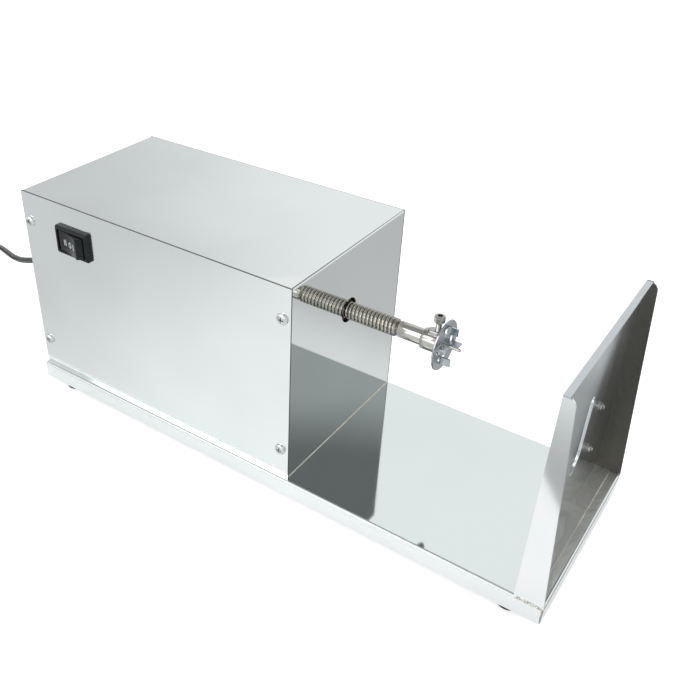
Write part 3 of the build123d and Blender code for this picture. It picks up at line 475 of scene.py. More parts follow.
def stand_steel(s):
    """The stand: bright front flange, grey plate and top, clouded foot, and a back flange darkened
    brown-grey, which is painted shade.
    """
    finish = sheet_steel("steel_stand", s.sheet_tint, 0.9 * s.steel_roughness, "Z", 0.0003)
    low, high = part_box("blade_stand")
    sheet = 1.6 * MM
    grey = s.stand_tint
    cloth = finish.noise(40.0, (1.0, 1.0, 0.3))
    top = finish.between("Z", high.z - sheet, high.z + sheet)
    finish.cover("Base Color", top, finish.ramp(cloth, scaled(grey, 0.95), grey))
    plate = finish.between("Y", low.y + sheet, high.y - sheet)
    under_top = finish.between("Z", low.z, high.z - sheet)
    body = finish.both(plate, under_top)
    finish.patch(body, finish.ramp(cloth, scaled(grey, 0.9), grey), finish.ramp(cloth, 0.13, 0.17))
    cloud_cover(finish, finish.between("Z", low.z, low.z + sheet), s.cloud_tint)
    # painted shade: the back flange gets a dark brown-grey colour with a rougher finish
    flange = finish.between("Y", high.y - sheet, high.y + 0.1 * MM)
    clouds = finish.noise(22.0, (1.0, 1.0, 0.4), detail=4.0)
    flange_shade = finish.ramp(clouds, s.back_flange_shade_tint, scaled(s.back_flange_shade_tint, 1.3))
    finish.patch(flange, flange_shade, finish.ramp(clouds, 0.4, 0.3))
    return finish


def turned_steel(name, color, roughness, axis="X", bright=None):
    """Turned bar: fine rings along one axis and a little staining, brighter from one place on."""
    finish = Finish(name, color, metallic=1.0, roughness=roughness)
    stains = finish.noise(120.0, detail=4.0)
    finish.drive("Base Color", finish.ramp(stains, scaled(color, 0.8), color))
    rings = finish.noise(5200.0, stretch(axis, 0.02), detail=2.0)
    finish.drive("Roughness", finish.ramp(rings, roughness * 0.75, roughness * 1.3))
    finish.bump(rings, 0.0000025, 0.7)
    if bright:
        place, clean = bright
        finish.patch(finish.between(axis, place, place + 1.0), clean, 0.13)
    return finish


def zinc_steel():
    """Bright plated fastener with a faintly mottled surface."""
    color, roughness = (0.66, 0.67, 0.67), 0.24
    finish = Finish("steel_zinc", color, metallic=1.0, roughness=roughness)
    mottle = finish.noise(420.0, detail=5.0)
    finish.drive("Base Color", finish.ramp(mottle, scaled(color, 0.74), color))
    finish.drive("Roughness", finish.ramp(finish.noise(900.0), roughness * 0.8, roughness * 1.4))
    finish.bump(finish.noise(1800.0, detail=3.0), 0.000012, 0.6)
    return finish


def weld_steel():
    """Weld metal: dull ripples with soot and straw heat marks."""
    finish = Finish("steel_weld", (0.6, 0.6, 0.58), metallic=1.0, roughness=0.32)
    spots = finish.noise(330.0, detail=6.0, roughness=0.7)
    metal = finish.ramp(spots, (0.16, 0.15, 0.13), (0.74, 0.73, 0.7), 0.3, 0.52)
    finish.drive("Base Color", metal)
    finish.drive("Roughness", finish.ramp(spots, 0.5, 0.22))
    finish.bump(finish.noise(1300.0, detail=4.0), 0.00005, 0.8)
    return finish


def cast_alloy(name, color, roughness):
    finish = Finish(name, color, metallic=0.9, roughness=roughness)
    mottle = finish.noise(60.0, detail=4.0)
    finish.drive("Base Color", finish.ramp(mottle, scaled(color, 0.82), color))
    finish.bump(finish.noise(1500.0, detail=4.0), 0.00004, 0.7)
    return finish


def moulding(name, color, roughness, grain=0.00002, scale=2600.0):
    """Moulded plastic or rubber with spark-eroded grain and slight wear in the gloss."""
    finish = Finish(name, color, roughness=roughness)
    light = tuple(min(1.0, channel * 1.5 + 0.004) for channel in color)
    finish.drive("Base Color", finish.ramp(finish.noise(90.0, detail=4.0), color, light))
    wear = finish.noise(240.0, detail=4.0)
    finish.drive("Roughness", finish.ramp(wear, roughness * 0.85, roughness * 1.2))
    finish.bump(finish.noise(scale, detail=2.0), grain, 0.6)
    finish.set("Specular IOR Level", 0.22)
    return finish


def ink():
    """Pad-printed white marks, a little thin in places."""
    finish = Finish("ink_white", (0.82, 0.86, 0.86), roughness=0.5)
    thin = finish.noise(1500.0)
    finish.drive("Base Color", finish.ramp(thin, (0.6, 0.64, 0.64), (0.88, 0.9, 0.9)))
    return finish


def make_materials():
    s = settings()
    clean_shank = (s.thread_end, (0.49, 0.48, 0.45))
    finishes = {
        "panel": panel_steel(s),
        "wrap": sheet_steel("steel_wrap", s.sheet_tint, 0.3 * s.steel_roughness, "Y"),
        "tray": tray_steel(s),
        "stand": stand_steel(s),
        "knife": sheet_steel("steel_knife", (0.74, 0.75, 0.77), 0.2, "Y", 0.00005),
        "screw": turned_steel("steel_screw", (0.45, 0.435, 0.39), 0.17, bright=clean_shank),
        "chuck": turned_steel("steel_chuck", (0.50, 0.495, 0.47), 0.15),
        "rod": turned_steel("steel_rod", (0.70, 0.70, 0.69), 0.15),
        "bolt": turned_steel("steel_bolt", (0.46, 0.455, 0.44), 0.18, "Z"),
        "fork": sheet_steel("steel_fork", (0.41, 0.44, 0.465), 0.24, "XYZ", 0.00004),
        "zinc": zinc_steel(),
        "weld": weld_steel(),
        "seam": turned_steel("steel_seam", (0.66, 0.635, 0.56), 0.42, "Y"),
        "alloy": cast_alloy("alloy_machined", (0.60, 0.61, 0.62), 0.42),
        # bronze darkened so that the gap round the screw in the end wall's hole reads black:
        # painted shade over the nut's own colour
        "bronze": cast_alloy("bronze_with_painted_shade", (0.16, 0.105, 0.045), 0.4),
        "brass": cast_alloy("brass_plated", (0.76, 0.62, 0.34), 0.28),
        "enamel": moulding("enamel_motor", (0.05, 0.055, 0.06), 0.34, 0.00003, 900.0),
        "rubber": moulding("rubber_foot", (0.016, 0.016, 0.018), 0.62, 0.00004, 1900.0),
        "bezel": moulding("plastic_bezel", s.plastic_tint, 0.36),
        "rocker": moulding("plastic_rocker", s.plastic_tint, 0.25, 0.000008),
        "red": moulding("plastic_red", (0.45, 0.03, 0.02), 0.35, 0.00001),
        "nylon": moulding("plastic_nylon", (0.70, 0.69, 0.64), 0.45, 0.00002),
        "shell": moulding("plastic_shell", (0.60, 0.60, 0.57), 0.4, 0.00002),
        "sheath": moulding("cord_sheath", s.cord_tint, 0.38, 0.000015, 1500.0),
        "ink": ink(),
    }
    return {name: finish.material for name, finish in finishes.items()}


# ---- base and feet ----


def build_base():
    paint("tray", "base_tray", "foot_plates")
    paint("zinc", "foot_screws", "foot_nuts", "deck_screws", "deck_nuts")
    low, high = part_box("rubber_feet")
    foot_radius = 11.0 * MM
    profile = mm(
        (7.95, 3.9), (7.95, 10.4), (7.5, 10.9), (5.4, 10.75), (5.1, 10.45), (4.6, 10.4),
        (4.3, 10.6), (1.2, 10.1), (0.5, 9.8), (0.1, 9.2), (0.02, 8.4), (0.02, 5.4),
        (0.3, 4.8), (0.9, 4.55), (3.9, 4.5),
    )
    bm = bmesh.new()
    for x in (low.x + foot_radius, high.x - foot_radius):
        for y in (low.y + foot_radius, high.y - foot_radius):
            lathe_into(bm, profile, (x, y, 0), Z, 56)
    piece("feet_moulded", bm, "frame", "rubber", "foot_rubber", "rubber_feet")


# ---- housing ----


def pan_head(face, x, z, way):
    """A pan head with a cross recess on a side panel, way pointing out of it."""
    profile = mm(
        (0.0, 5.2), (0.55, 5.2), (1.1, 5.08), (1.7, 4.75), (2.25, 4.1), (2.65, 3.1),
        (2.88, 1.9), (2.96, 0.8), (2.98, 0.0),
    )
    bm = bmesh.new()
    lathe_into(bm, profile, (0, 0, 0), Z, 44)
    for turn in (0, pi / 2):
        wing = bmesh.new()
        loops = []
        for w, l, height in ((0.35, 1.35, 1.0), (0.62, 2.75, 3.3)):
            loops.append(mm((-w, -l, height), (w, -l, height), (w, l, height), (-w, l, height)))
        loft_into(wing, loops)
        turned = Matrix.Rotation(turn, 3, "Z")
        bmesh.ops.rotate(wing, cent=(0, 0, 0), matrix=turned, verts=wing.verts)
        bm = carve(bm, wing)
    spin = Matrix.Rotation(0.6 + 40 * x + 25 * z, 4, "Z")
    bmesh.ops.transform(bm, matrix=spin, verts=bm.verts)
    aim(bm, (x, face, z), (0, way, 0))
    return bm


def build_housing():
    paint("panel", "front_side_panel", "rear_side_panel")
    paint("wrap", "housing_wrap")
    inset = 5.2 * MM
    for side, way in (("front", -1), ("rear", 1)):
        low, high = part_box(f"{side}_panel_screws")
        panel_low, panel_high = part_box(f"{side}_side_panel")
        face = panel_low.y if way < 0 else panel_high.y
        bm = bmesh.new()
        for x in (low.x + inset, high.x - inset):
            for z in (low.z + inset, high.z - inset):
                join_into(bm, pan_head(face, x, z, way))
        name = f"{side}_panel_screw_heads"
        piece(name, bm, "frame", "zinc", "zinc_steel", f"{side}_panel_screws", angle=38)

    low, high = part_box("housing_wrap")
    leg, from_end = 0.7 * MM, 0.5 * MM
    bm = bmesh.new()
    section = [(leg, 0), (0.62 * leg, 0.25 * leg), (0.25 * leg, 0.62 * leg), (0, leg), (0, 0)]
    start = (high.x, high.y - from_end, low.z)
    prism_into(bm, section, start, X, Z, high.y - low.y - 2 * from_end)
    piece("wall_foot_seam", bm, "frame", "seam", "steel_polished", angle=60)


# ---- switch ----

# the rocker's section and its marks, in millimetres from its pivot
ROCKER_RADIUS, ROCKER_RISE, ROCKER_INSIDE, ROCKER_HALF = 16.0, 7.8, 2.0, 10.0
DISH_RADIUS, DISH_HALF, DISH_DEEPEST = 60.0, 11.88, 6.6
MARK_TALL, MARK_THICK, MARK_SUNK = 2.8, 0.44, 0.4


def dish_y(x):
    """Where the rocker's hollow face lies."""
    return sqrt(DISH_RADIUS**2 - x**2) - DISH_RADIUS - DISH_DEEPEST


def build_switch():
    low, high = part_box("switch_body")
    middle = (low + high) / 2
    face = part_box("front_side_panel")[0].y
    loops = []
    for less_x, less_z, corner, out in (
        (0.0, 0.0, 2.0, 0.0), (0.0, 0.0, 2.0, 2.7), (0.5, 0.5, 1.9, 3.1), (3.0, 3.0, 1.5, 4.35),
        (3.5, 3.5, 1.4, 4.5), (6.2, 6.2, 0.9, 4.5), (6.8, 6.6, 0.8, 4.1), (7.0, 6.8, 0.8, -3.0),
    ):
        width, height = high.x - low.x - less_x * MM, high.z - low.z - less_z * MM
        outline = rounded_rectangle(width, height, corner * MM)
        loops.append([(middle.x + x, face - out * MM, middle.z + z) for x, z in outline])
    bm = bmesh.new()
    loft_into(bm, loops, capped=False)
    wall, depth = 2.2 * MM, 3.0 * MM
    start = (low.x + wall, face + depth, low.z + wall)
    box_into(bm, start, (high.x - wall, high.y, high.z - wall), 0.8 * MM)
    piece("switch_bezel", bm, "frame", "bezel", "black_plastic", "switch_body")
    paint("brass", "switch_terminals")

    pivot = Vector((middle.x, face + 1.0 * MM, middle.z))
    tilt = Matrix.Translation(pivot) @ Matrix.Rotation(radians(-12), 4, "Z")
    right = []
    for n in range(6):
        y = -ROCKER_RISE + (ROCKER_INSIDE + ROCKER_RISE) * n / 5
        right.append((sqrt(ROCKER_RADIUS**2 - y**2), y))
    left = [(-x, y) for x, y in reversed(right)]
    dish = [(x, dish_y(x)) for x in [DISH_HALF * (n / 7 - 1) for n in range(15)]]
    outline = mm(*left[-1:], *dish, *right, *left[:-1])
    half = ROCKER_HALF * MM
    bm = bmesh.new()
    prism_into(bm, outline, (0, 0, -half), X, Y, 2 * half)
    soften(bm, 0.55 * MM, 3, 50)
    bmesh.ops.transform(bm, matrix=tilt, verts=bm.verts)
    piece("rocker_cap", bm, "rocker", "rocker", "rocker_plastic", "switch_rocker")

    marks = bmesh.new()
    for x in (-6.4, -4.2, 8.6):
        y = dish_y(x)
        start = (x - MARK_THICK, y - 0.12, -MARK_TALL)
        box_into(marks, *mm(start, (x + MARK_THICK, y + MARK_SUNK, MARK_TALL)))
    loops = []
    for scale, rise in ((1.0, MARK_SUNK), (1.0, -0.06), (0.62, -0.06), (0.62, MARK_SUNK)):
        ring = []
        for px, pz in ring_points(scale, 32):
            x = 2.3 + 2.2 * px
            ring.append((x, dish_y(x) + rise, MARK_TALL * pz))
        loops.append(mm(*ring))
    loft_into(marks, loops, capped=False)
    bmesh.ops.transform(marks, matrix=tilt, verts=marks.verts)
    piece("rocker_marks", marks, "rocker", "ink", "rocker_plastic")


# ---- stand and knife ----


def build_slot_lip(s, face):
    """The thin turned edge along the slot's straight side and its curved foot."""
    straight_top, straight_foot = 150.0 * MM, 105.0 * MM
    radius, wide = 18.5 * MM, 0.7 * MM
    middle = s.axis_y - radius
    inner, outer = [], []
    for n in range(15):
        turn = radians(-76 * n / 14)
        for points, reach in ((inner, radius), (outer, radius + wide)):
            points.append((middle + reach * cos(turn), straight_foot + reach * sin(turn)))
    outline = [(s.axis_y, straight_top), *inner, *outer[::-1], (s.axis_y + wide, straight_top)]
    lip = bmesh.new()
    prism_into(lip, outline, (face, 0, 0), Y, Z, 0.6 * MM)
    soften(lip, 0.2 * MM, 2, 50)
    piece("slot_lip", lip, "frame", "knife", "steel_polished")


def build_stand_welds(bead):
    """Beads along the stand's foot, at the tray's corners and at the stand's top corners."""
    low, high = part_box("blade_stand")
    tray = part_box("base_tray")[1]
    corner = 0.4 * bead
    bm = bmesh.new()
    for side in (-1, 1):
        foot = [(x, side * tray.y, tray.z - 0.3 * MM) for x in (low.x + 1 * MM, tray.x - 1.6 * MM)]
        bead_into(bm, *foot, 1.15 * bead, (0, side, 0), 10)
        x, y = tray.x - corner, side * (tray.y - corner)
        upright = [(x, y, tray.z + 1.2 * MM), (x, y, tray.z - 5.0 * MM)]
        bead_into(bm, *upright, 0.8 * bead, (0.7, side * 0.7, 0))
        y, z = side * (high.y - 1.0 * MM), high.z - 1.6 * MM
        top = [(low.x + 2.6 * MM, y, z), (low.x + 6.4 * MM, y, z)]
        bead_into(bm, *top, 0.62 * bead, (0, side * 0.7, 0.7), 4)
    piece("stand_welds", bm, "frame", "weld", "steel_polished", angle=60)


def build_knife_fasteners():
    """The knife's two bolts, whose ends show behind the plate with their nuts and washers."""
    low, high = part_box("knife_bolts")
    washer_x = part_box("knife_washers")[0].x
    head, y = 4.5 * MM, (low.y + high.y) / 2
    stud = mm(
        (0.0, 0.0), (0.0, 1.6), (0.12, 1.6), (0.36, 1.35), (0.72, 1.6), (0.96, 1.35),
        (1.5, 1.5), (1.8, 1.2), (1.8, 0.0),
    )
    dome = mm((0.0, 4.45), (-0.8, 4.4), (-1.6, 3.9), (-2.4, 2.6), (-2.6, 1.5), (-2.6, 0.0))
    washer = mm((0, 1.0), (0, 3.4), (0.2, 3.6), (0.5, 3.6), (0.7, 3.4), (0.7, 1.0))
    bolts, nuts = bmesh.new(), bmesh.new()
    for z in (low.z + head, high.z - head):
        lathe_into(bolts, stud, (washer_x + 3.0 * MM, y, z), X, 28)
        lathe_into(bolts, dome, (low.x + 3.0 * MM, y, z), X, 32)
        nut = bmesh.new()
        hexagon = ring_points(3.2 * MM, 6, 0.3 + 8 * z)
        prism_into(nut, hexagon, (washer_x + 0.6 * MM, y, z), Y, Z, 2.6 * MM)
        soften(nut, 0.4 * MM, 2, 30)
        lathe_into(nut, washer, (washer_x, y, z), X, 32)
        join_into(nuts, nut)
    piece("knife_bolt_ends", bolts, "frame", "bolt", "zinc_steel", "knife_bolts", angle=40)
    taken = ("knife_nuts", "knife_washers")
    piece("knife_hex_nuts", nuts, "frame", "bolt", "zinc_steel", *taken, angle=40)


def build_stand():
    s = settings()
    paint("stand", "blade_stand")
    paint("knife", "spiral_knife")
    build_slot_lip(s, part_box("blade_stand")[0].x + 1.5 * MM)
    build_stand_welds(s.bead)
    build_knife_fasteners()


# ---- screw, chuck and clamp bolt ----


def build_screw():
    s = settings()
    low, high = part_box("lead_screw")
    start = low.x + 14 * MM
    turns = (s.thread_end - start) / s.pitch
    steps = round(turns * s.thread_steps)
    root, crest, shank = s.root / 2, s.crest / 2, s.shank / 2
    bm = bmesh.new()
    flank = [(0.28, crest), (0.33, crest - 0.15 * MM), (0.40, root), (0.42, root - 0.4 * MM)]
    section = [(-along, radius) for along, radius in reversed(flank)] + flank
    verts = [
        bm.verts.new((start + along * s.pitch, s.axis_y, s.axis_z + radius))
        for along, radius in section
    ]
    edges = [bm.edges.new(pair) for pair in zip(verts, verts[1:])]
    bmesh.ops.spin(
        bm, geom=verts + edges, cent=(0, s.axis_y, s.axis_z), axis=X, angle=2 * pi * turns,
        dvec=(s.pitch * turns / steps, 0, 0), steps=steps, use_duplicate=False,
    )
    fade = 0.6 * s.pitch
    for vert in bm.verts:
        over = (vert.co.x - (s.thread_end - fade)) / fade
        offset = Vector((0, vert.co.y - s.axis_y, vert.co.z - s.axis_z))
        if over > 0 and offset.length > root:
            radius = max(root, offset.length - over * (crest - root))
            vert.co -= offset * (1 - radius / offset.length)
    neck = s.thread_end - low.x
    end = high.x - low.x
    profile = [
        (0.0, 0.0), (0.0, root - 0.5 * MM), (0.5 * MM, root), (neck, root),
        (neck + 0.3 * MM, root + 0.2 * MM), (neck + 1.0 * MM, shank - 0.15 * MM),
        (neck + 1.3 * MM, shank), (end - 0.5 * MM, shank), (end, shank - 0.5 * MM), (end, 0.0),
    ]
    lathe_into(bm, profile, (low.x, s.axis_y, s.axis_z), X, 64)
    piece("screw_thread", bm, "spindle", "screw", "screw_steel", "lead_screw", angle=45)


def build_hub(s, clamp_x):
    """The chuck's hub, with the boss for the clamp bolt welded on top."""
    low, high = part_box("chuck_hub")
    hub, end = s.hub / 2, high.x - low.x
    groove = hub - 0.25 * MM
    profile = [
        (0.0, s.shank / 2 + 0.02 * MM), (0.0, hub - 0.5 * MM), (0.15 * MM, hub - 0.2 * MM),
        (0.5 * MM, hub), (end - 1.2 * MM, hub), (end - 0.9 * MM, groove), (end - 0.5 * MM, groove),
        (end - 0.2 * MM, hub), (end, hub), (end, 0.0),
    ]
    bm = bmesh.new()
    lathe_into(bm, profile, (low.x, s.axis_y, s.axis_z), X, 72)
    foot, top = s.axis_z + 5 * MM, high.z - 0.5 * MM
    outline = [
        (min(x + clamp_x - 2.5 * MM, high.x - 0.1 * MM), y + s.axis_y)
        for x, y in rounded_rectangle(12 * MM, 8 * MM, 3.9 * MM, 8)
    ]
    boss = bmesh.new()
    prism_into(boss, outline, (0, 0, foot), X, Y, top - foot)
    bmesh.ops.remove_doubles(boss, verts=boss.verts, dist=1e-6)
    soften(boss, 1.1 * MM, 3, 50)
    join_into(bm, boss)
    piece("chuck_hub_turned", bm, "spindle", "chuck", "screw_steel", "chuck_hub", angle=40)

    bm = bmesh.new()
    away = 4.3 * MM
    z = s.axis_z + sqrt(hub**2 - away**2)
    for side in (-1, 1):
        y = s.axis_y + side * away
        ends = ((clamp_x - 6.5 * MM, y, z), (high.x - 2.0 * MM, y, z))
        bead_into(bm, *ends, 1.3 * MM, (0, side * 0.7, 0.7))
    piece("boss_welds", bm, "spindle", "weld", "screw_steel", angle=60)


def prong_outline(s):
    """Side view of a prong: it bends out of the disc past its window and runs along the axis."""
    half, sheet = s.prong_width / 2, s.disc_sheet
    bend_in, bend_out = 0.9 * MM, 2.0 * MM
    tip, outside = sheet + s.prong_length, half + sheet
    outline = []
    for step in range(6):
        turn = radians(90 * step / 5)
        outline.append((sheet + bend_in * (1 - cos(turn)), outside + bend_in * (1 - sin(turn))))
    outline += [(tip - 0.5 * MM, outside), (tip - 0.12 * MM, outside - 0.15 * MM)]
    outline += [(tip, outside - 0.45 * MM), (tip, half + 0.4 * MM), (tip - 0.3 * MM, half)]
    for step in range(8):
        turn = radians(90 * step / 7)
        outline.append((bend_out * (1 - sin(turn)), half + bend_out * (1 - cos(turn))))
    return outline + [(0.0, outside + bend_in)]


def build_fork(s):
    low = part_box("fork_disc")[0]
    radius, sheet, rim = s.disc / 2, s.disc_sheet, 0.3 * MM
    profile = [
        (0.0, 0.0), (0.0, radius - rim), (rim, radius), (sheet - rim, radius),
        (sheet, radius - rim), (sheet, 0.0),
    ]
    bm = bmesh.new()
    lathe_into(bm, profile, (low.x, s.axis_y, s.axis_z), X, 96)
    half = s.prong_width / 2
    near, far = s.window_centre - half, s.window_centre + half
    before, past = low.x - 1 * MM, low.x + 3 * MM
    centre = Matrix.Translation((0, s.axis_y, s.axis_z))
    quarters = [centre @ Matrix.Rotation(n * pi / 2, 4, "X") for n in range(4)]
    for turn in quarters:
        window = bmesh.new()
        box_into(window, (before, -half, near), (past, half, far))
        bmesh.ops.transform(window, matrix=turn, verts=window.verts)
        bm = carve(bm, window)
    hole = bmesh.new()
    hole_radius, away = 2.5 * MM, 0.707 * 13.4 * MM
    outline = [(s.axis_y - away + y, s.axis_z - away + z) for y, z in ring_points(hole_radius, 36)]
    prism_into(hole, outline, (before, 0, 0), Y, Z, past - before)
    bm = carve(bm, hole)
    soften(bm, 0.16 * MM, 1, 60)
    for turn in quarters:
        prong = bmesh.new()
        prism_into(prong, prong_outline(s), (low.x, 0, near), X, Y, far - near)
        bmesh.ops.remove_doubles(prong, verts=prong.verts, dist=1e-6)
        soften(prong, 0.14 * MM, 1, 60)
        bmesh.ops.transform(prong, matrix=turn, verts=prong.verts)
        join_into(bm, prong)
    piece("fork_pronged", bm, "spindle", "fork", "fork_steel", "fork_disc", angle=35)

    pin_low, pin_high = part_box("centre_pin")
    r = (pin_high.z - pin_low.z) / 2
    tip = low.x + 15.5 * MM - pin_low.x
    profile = [
        (0.0, 0.0), (0.0, r), (tip - 2.4 * MM, r), (tip - 1.0 * MM, 0.8 * r),
        (tip - 0.25 * MM, 0.4 * r), (tip, 0.0),
    ]
    bm = bmesh.new()
    lathe_into(bm, profile, (pin_low.x, s.axis_y, s.axis_z), X, 36)
    piece("centre_pin_turned", bm, "spindle", "chuck", "ground_steel", "centre_pin", angle=50)


def build_clamp_bolt(s, x, low, high):
    """Knurled cap screw with a hexagon socket, its thread showing under the head."""
    head = 5.4 * MM
    under = high.z - head
    radius = (high.x - low.x) / 2
    ridges, knurl = 40, 0.22 * MM
    edge = []
    for n in range(2 * ridges):
        turn, reach = pi * n / ridges, radius - (0 if n % 2 else knurl)
        edge.append((x + reach * cos(turn), s.axis_y + reach * sin(turn)))
    sides, crown, bolt = bmesh.new(), bmesh.new(), bmesh.new()
    prism_into(sides, edge, (0, 0, under), X, Y, head - 0.5 * MM)
    top = [
        (-1.4 * MM, 0.0), (-1.4 * MM, radius - 0.3 * MM), (-0.5 * MM, radius - 0.3 * MM),
        (-0.12 * MM, radius - 0.75 * MM), (0.0, radius - 1.1 * MM), (0.0, 0.0),
    ]
    lathe_into(crown, top, (x, s.axis_y, high.z), Z, 48)
    socket = [(x + px, s.axis_y + py) for px, py in ring_points(2.35 * MM, 6, 0.35)]
    for part in (sides, crown):
        tool = bmesh.new()
        prism_into(tool, socket, (0, 0, high.z - 3.4 * MM), X, Y, 6 * MM)
        join_into(bolt, carve(part, tool))
    root, crest, ridge = 2.1 * MM, 2.48 * MM, 0.8 * MM
    profile = [(0.0, 0.0), (0.0, root)]
    z = 0.0
    while z + ridge < under - low.z:
        profile += [(z + 0.25 * ridge, root), (z + 0.55 * ridge, crest), (z + 0.7 * ridge, crest)]
        z += ridge
    profile.append((under - low.z + 0.1 * MM, root))
    lathe_into(bolt, profile, (x, s.axis_y, low.z), Z, 36)
    name = "clamp_screw_knurled"
    piece(name, bolt, "clamp_bolt", "bolt", "ground_steel", "clamp_bolt", angle=30)


def build_chuck():
    s = settings()
    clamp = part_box("clamp_bolt")
    clamp_x = (clamp[0].x + clamp[1].x) / 2
    build_hub(s, clamp_x)
    build_fork(s)
    build_clamp_bolt(s, clamp_x, *clamp)


# ---- drive inside the housing ----


def build_drive():
    paint("alloy", "support_plate", "rod_pedestals", "limit_blocks", "carriage_plate", "gearbox")
    paint("alloy", "motor_cap", "shaft_coupling")
    paint("zinc", "lead_nut_screws", "capacitor_strap", "gearbox_screws", "limit_striker")
    paint("zinc", "coupling_screw", "panel_nuts")
    # the lead nut's darkened bronze is painted shade in the wall hole round the screw
    paint("bronze", "lead_nut", "slide_bushes")
    paint("rod", "guide_rods", "output_shaft")
    paint("bezel", "limit_switches", "gland_nut")
    paint("red", "front_limit_plunger", "rear_limit_plunger")
    paint("shell", "run_capacitor")
    paint("nylon", "terminal_block")
    paint("enamel", "motor_can")


# ---- mains cord ----

# part.py's route, in metres, drawn down behind the housing as the photograph shows
CORD_ROUTE = [
    (-0.2895, -0.027, 0.102),
    (-0.310, -0.027, 0.100),
    (-0.334, -0.027, 0.092),
    (-0.400, -0.005, 0.0615),
    (-0.482, 0.037, 0.0325),
    (-0.540, 0.072, 0.0033),
    (-0.5775, 0.072, 0.0033),
]
COIL_MIDDLE = (-0.584, 0.072 - 0.044)
COIL_INNER = 0.026
COIL_PITCH = 0.0072
QUARTERS_IN, QUARTERS_OUT = 10, 11
POINTS_A_QUARTER = 3


def coil_place(quarter, grow=1.0):
    """A place on the coil's centre line, counted in quarter turns from where it starts."""
    turn = radians(90 + 90 * quarter)
    from_middle = quarter - QUARTERS_IN
    radius = (COIL_INNER + COIL_PITCH * abs(from_middle) / 4) * grow
    climb = min(max(from_middle / 2 + 0.5, 0.0), 1.0)
    height = CORD_ROUTE[-1][2] + COIL_PITCH * (1 - cos(pi * climb)) / 2
    x, y = COIL_MIDDLE
    return Vector((x + radius * cos(turn), y + radius * sin(turn), height))


def build_cord():
    s = settings()
    grow = 1 / cos(radians(90 / POINTS_A_QUARTER / 2))
    quarters = QUARTERS_IN + QUARTERS_OUT
    points = [Vector(point) for point in CORD_ROUTE]
    for n in range(1, quarters * POINTS_A_QUARTER):
        points.append(coil_place(n / POINTS_A_QUARTER, grow))
    last = coil_place(quarters)
    way = (last - coil_place(quarters - 0.02)).normalized()
    points += [last, last + way * s.cord]

    curve = bpy.data.curves.new("mains_lead", "CURVE")
    curve.dimensions = "3D"
    spline = curve.splines.new("NURBS")
    spline.points.add(len(points) - 1)
    for target, point in zip(spline.points, points):
        target.co = (*point, 1.0)
    spline.order_u = 3
    spline.use_endpoint_u = True
    spline.resolution_u = 8
    curve.bevel_depth = s.cord / 2
    curve.bevel_resolution = 6
    curve.use_fill_caps = True
    lead = link("mains_lead", curve)
    curve.materials.append(MATERIALS["sheath"])
    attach(lead, "frame")
    claim(lead, "cord_sheath", "mains_cord", "cord_coil")

    plug = build_plug(last + way * s.cord, way)
    build_strain_relief(s.cord / 2 + 0.02 * MM)


def build_strain_relief(bore):
    """Flanged bush in the housing's end wall, with ribs that taper along the cord."""
    low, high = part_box("cable_gland")
    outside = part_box("housing_wrap")[0].x
    end = low.x - outside
    profile = [(0.0, bore)] + mm((0.0, 8.6), (-0.5, 9.0), (-2.6, 9.0), (-3.0, 8.6), (-3.2, 6.8))
    ribs, first = 6, -4.0 * MM
    rib = (first - end) / ribs
    for n in range(ribs):
        at, wide = first - n * rib, 6.4 * MM - 1.9 * MM * n / ribs
        profile += [(at, wide), (at - 0.55 * rib, wide - 0.15 * MM)]
        profile += [(at - 0.62 * rib, wide - 0.8 * MM), (at - 0.92 * rib, wide - 0.85 * MM)]
    profile += [(end, 4.3 * MM), (end, bore)]
    bm = bmesh.new()
    middle = (outside, (low.y + high.y) / 2, (low.z + high.z) / 2)
    lathe_into(bm, profile, middle, X, 40)
    name = "strain_relief_ribbed"
    piece(name, bm, "frame", "sheath", "black_plastic", "cable_gland", angle=35)


def build_plug(start, way):
    """Moulded plug lying on the floor: ribbed relief, waisted body and three pins."""
    low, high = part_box("plug_body")
    thick, wide = high.z - low.z, 26.0 * MM
    relief, body_start = 26.0 * MM, 23.0 * MM
    profile = mm((0.0, 3.2), (0.0, 4.2))
    for n in range(6):
        at, r = 1.2 + n * 3.6, 4.2 + 0.2 * n
        profile += mm((at, r), (at + 2.2, r + 0.1), (at + 2.4, r - 0.6), (at + 3.4, r - 0.55))
    profile += [(relief, 5.3 * MM), (relief, 0.0)]
    bm = bmesh.new()
    lathe_into(bm, profile, (0, 0, 0), Z, 32)
    loops = []
    for along, across, tall, radius in (
        (0.0, 0.50, 0.66, 4.0), (1.2, 0.62, 0.80, 4.6), (5.0, 0.78, 0.94, 5.0),
        (11.0, 0.86, 0.985, 5.0), (17.0, 0.90, 0.985, 4.6), (21.5, 1.0, 1.0, 4.0),
        (29.0, 1.0, 1.0, 4.0), (30.0, 0.955, 0.945, 3.6),
    ):
        outline = rounded_rectangle(wide * across, thick * tall, radius * MM)
        loops.append([(px, py, body_start + along * MM) for px, py in outline])
    body = bmesh.new()
    loft_into(body, loops)
    for side in (-1, 1):
        for n in range(4):
            x, z = side * wide * 0.46, body_start + (6.5 + 3.2 * n) * MM
            rib_start = (x - 1.4 * MM, -6 * MM, z)
            box_into(body, rib_start, (x + 1.4 * MM, 6 * MM, z + 1.3 * MM), 0.3 * MM)
    join_into(bm, body)
    aim(bm, start, way)
    moulded = piece("plug_moulded", bm, "frame", "sheath", "plug_plastic", "plug_body", angle=40)
    paint("brass", "plug_pins")
    return [moulded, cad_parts["plug_pins"]]


# ---- studio ----

# fitted to the photograph
CAMERA_PLACE = (0.3433, -0.5387, 0.5309)
CAMERA_FORWARD = (-0.4769, 0.6789, -0.5583)
CAMERA_RIGHT = (0.8135, 0.5815, 0.0121)
FLOOR_SEEN, FLOOR_REFLECTED = 0.30, 0.26


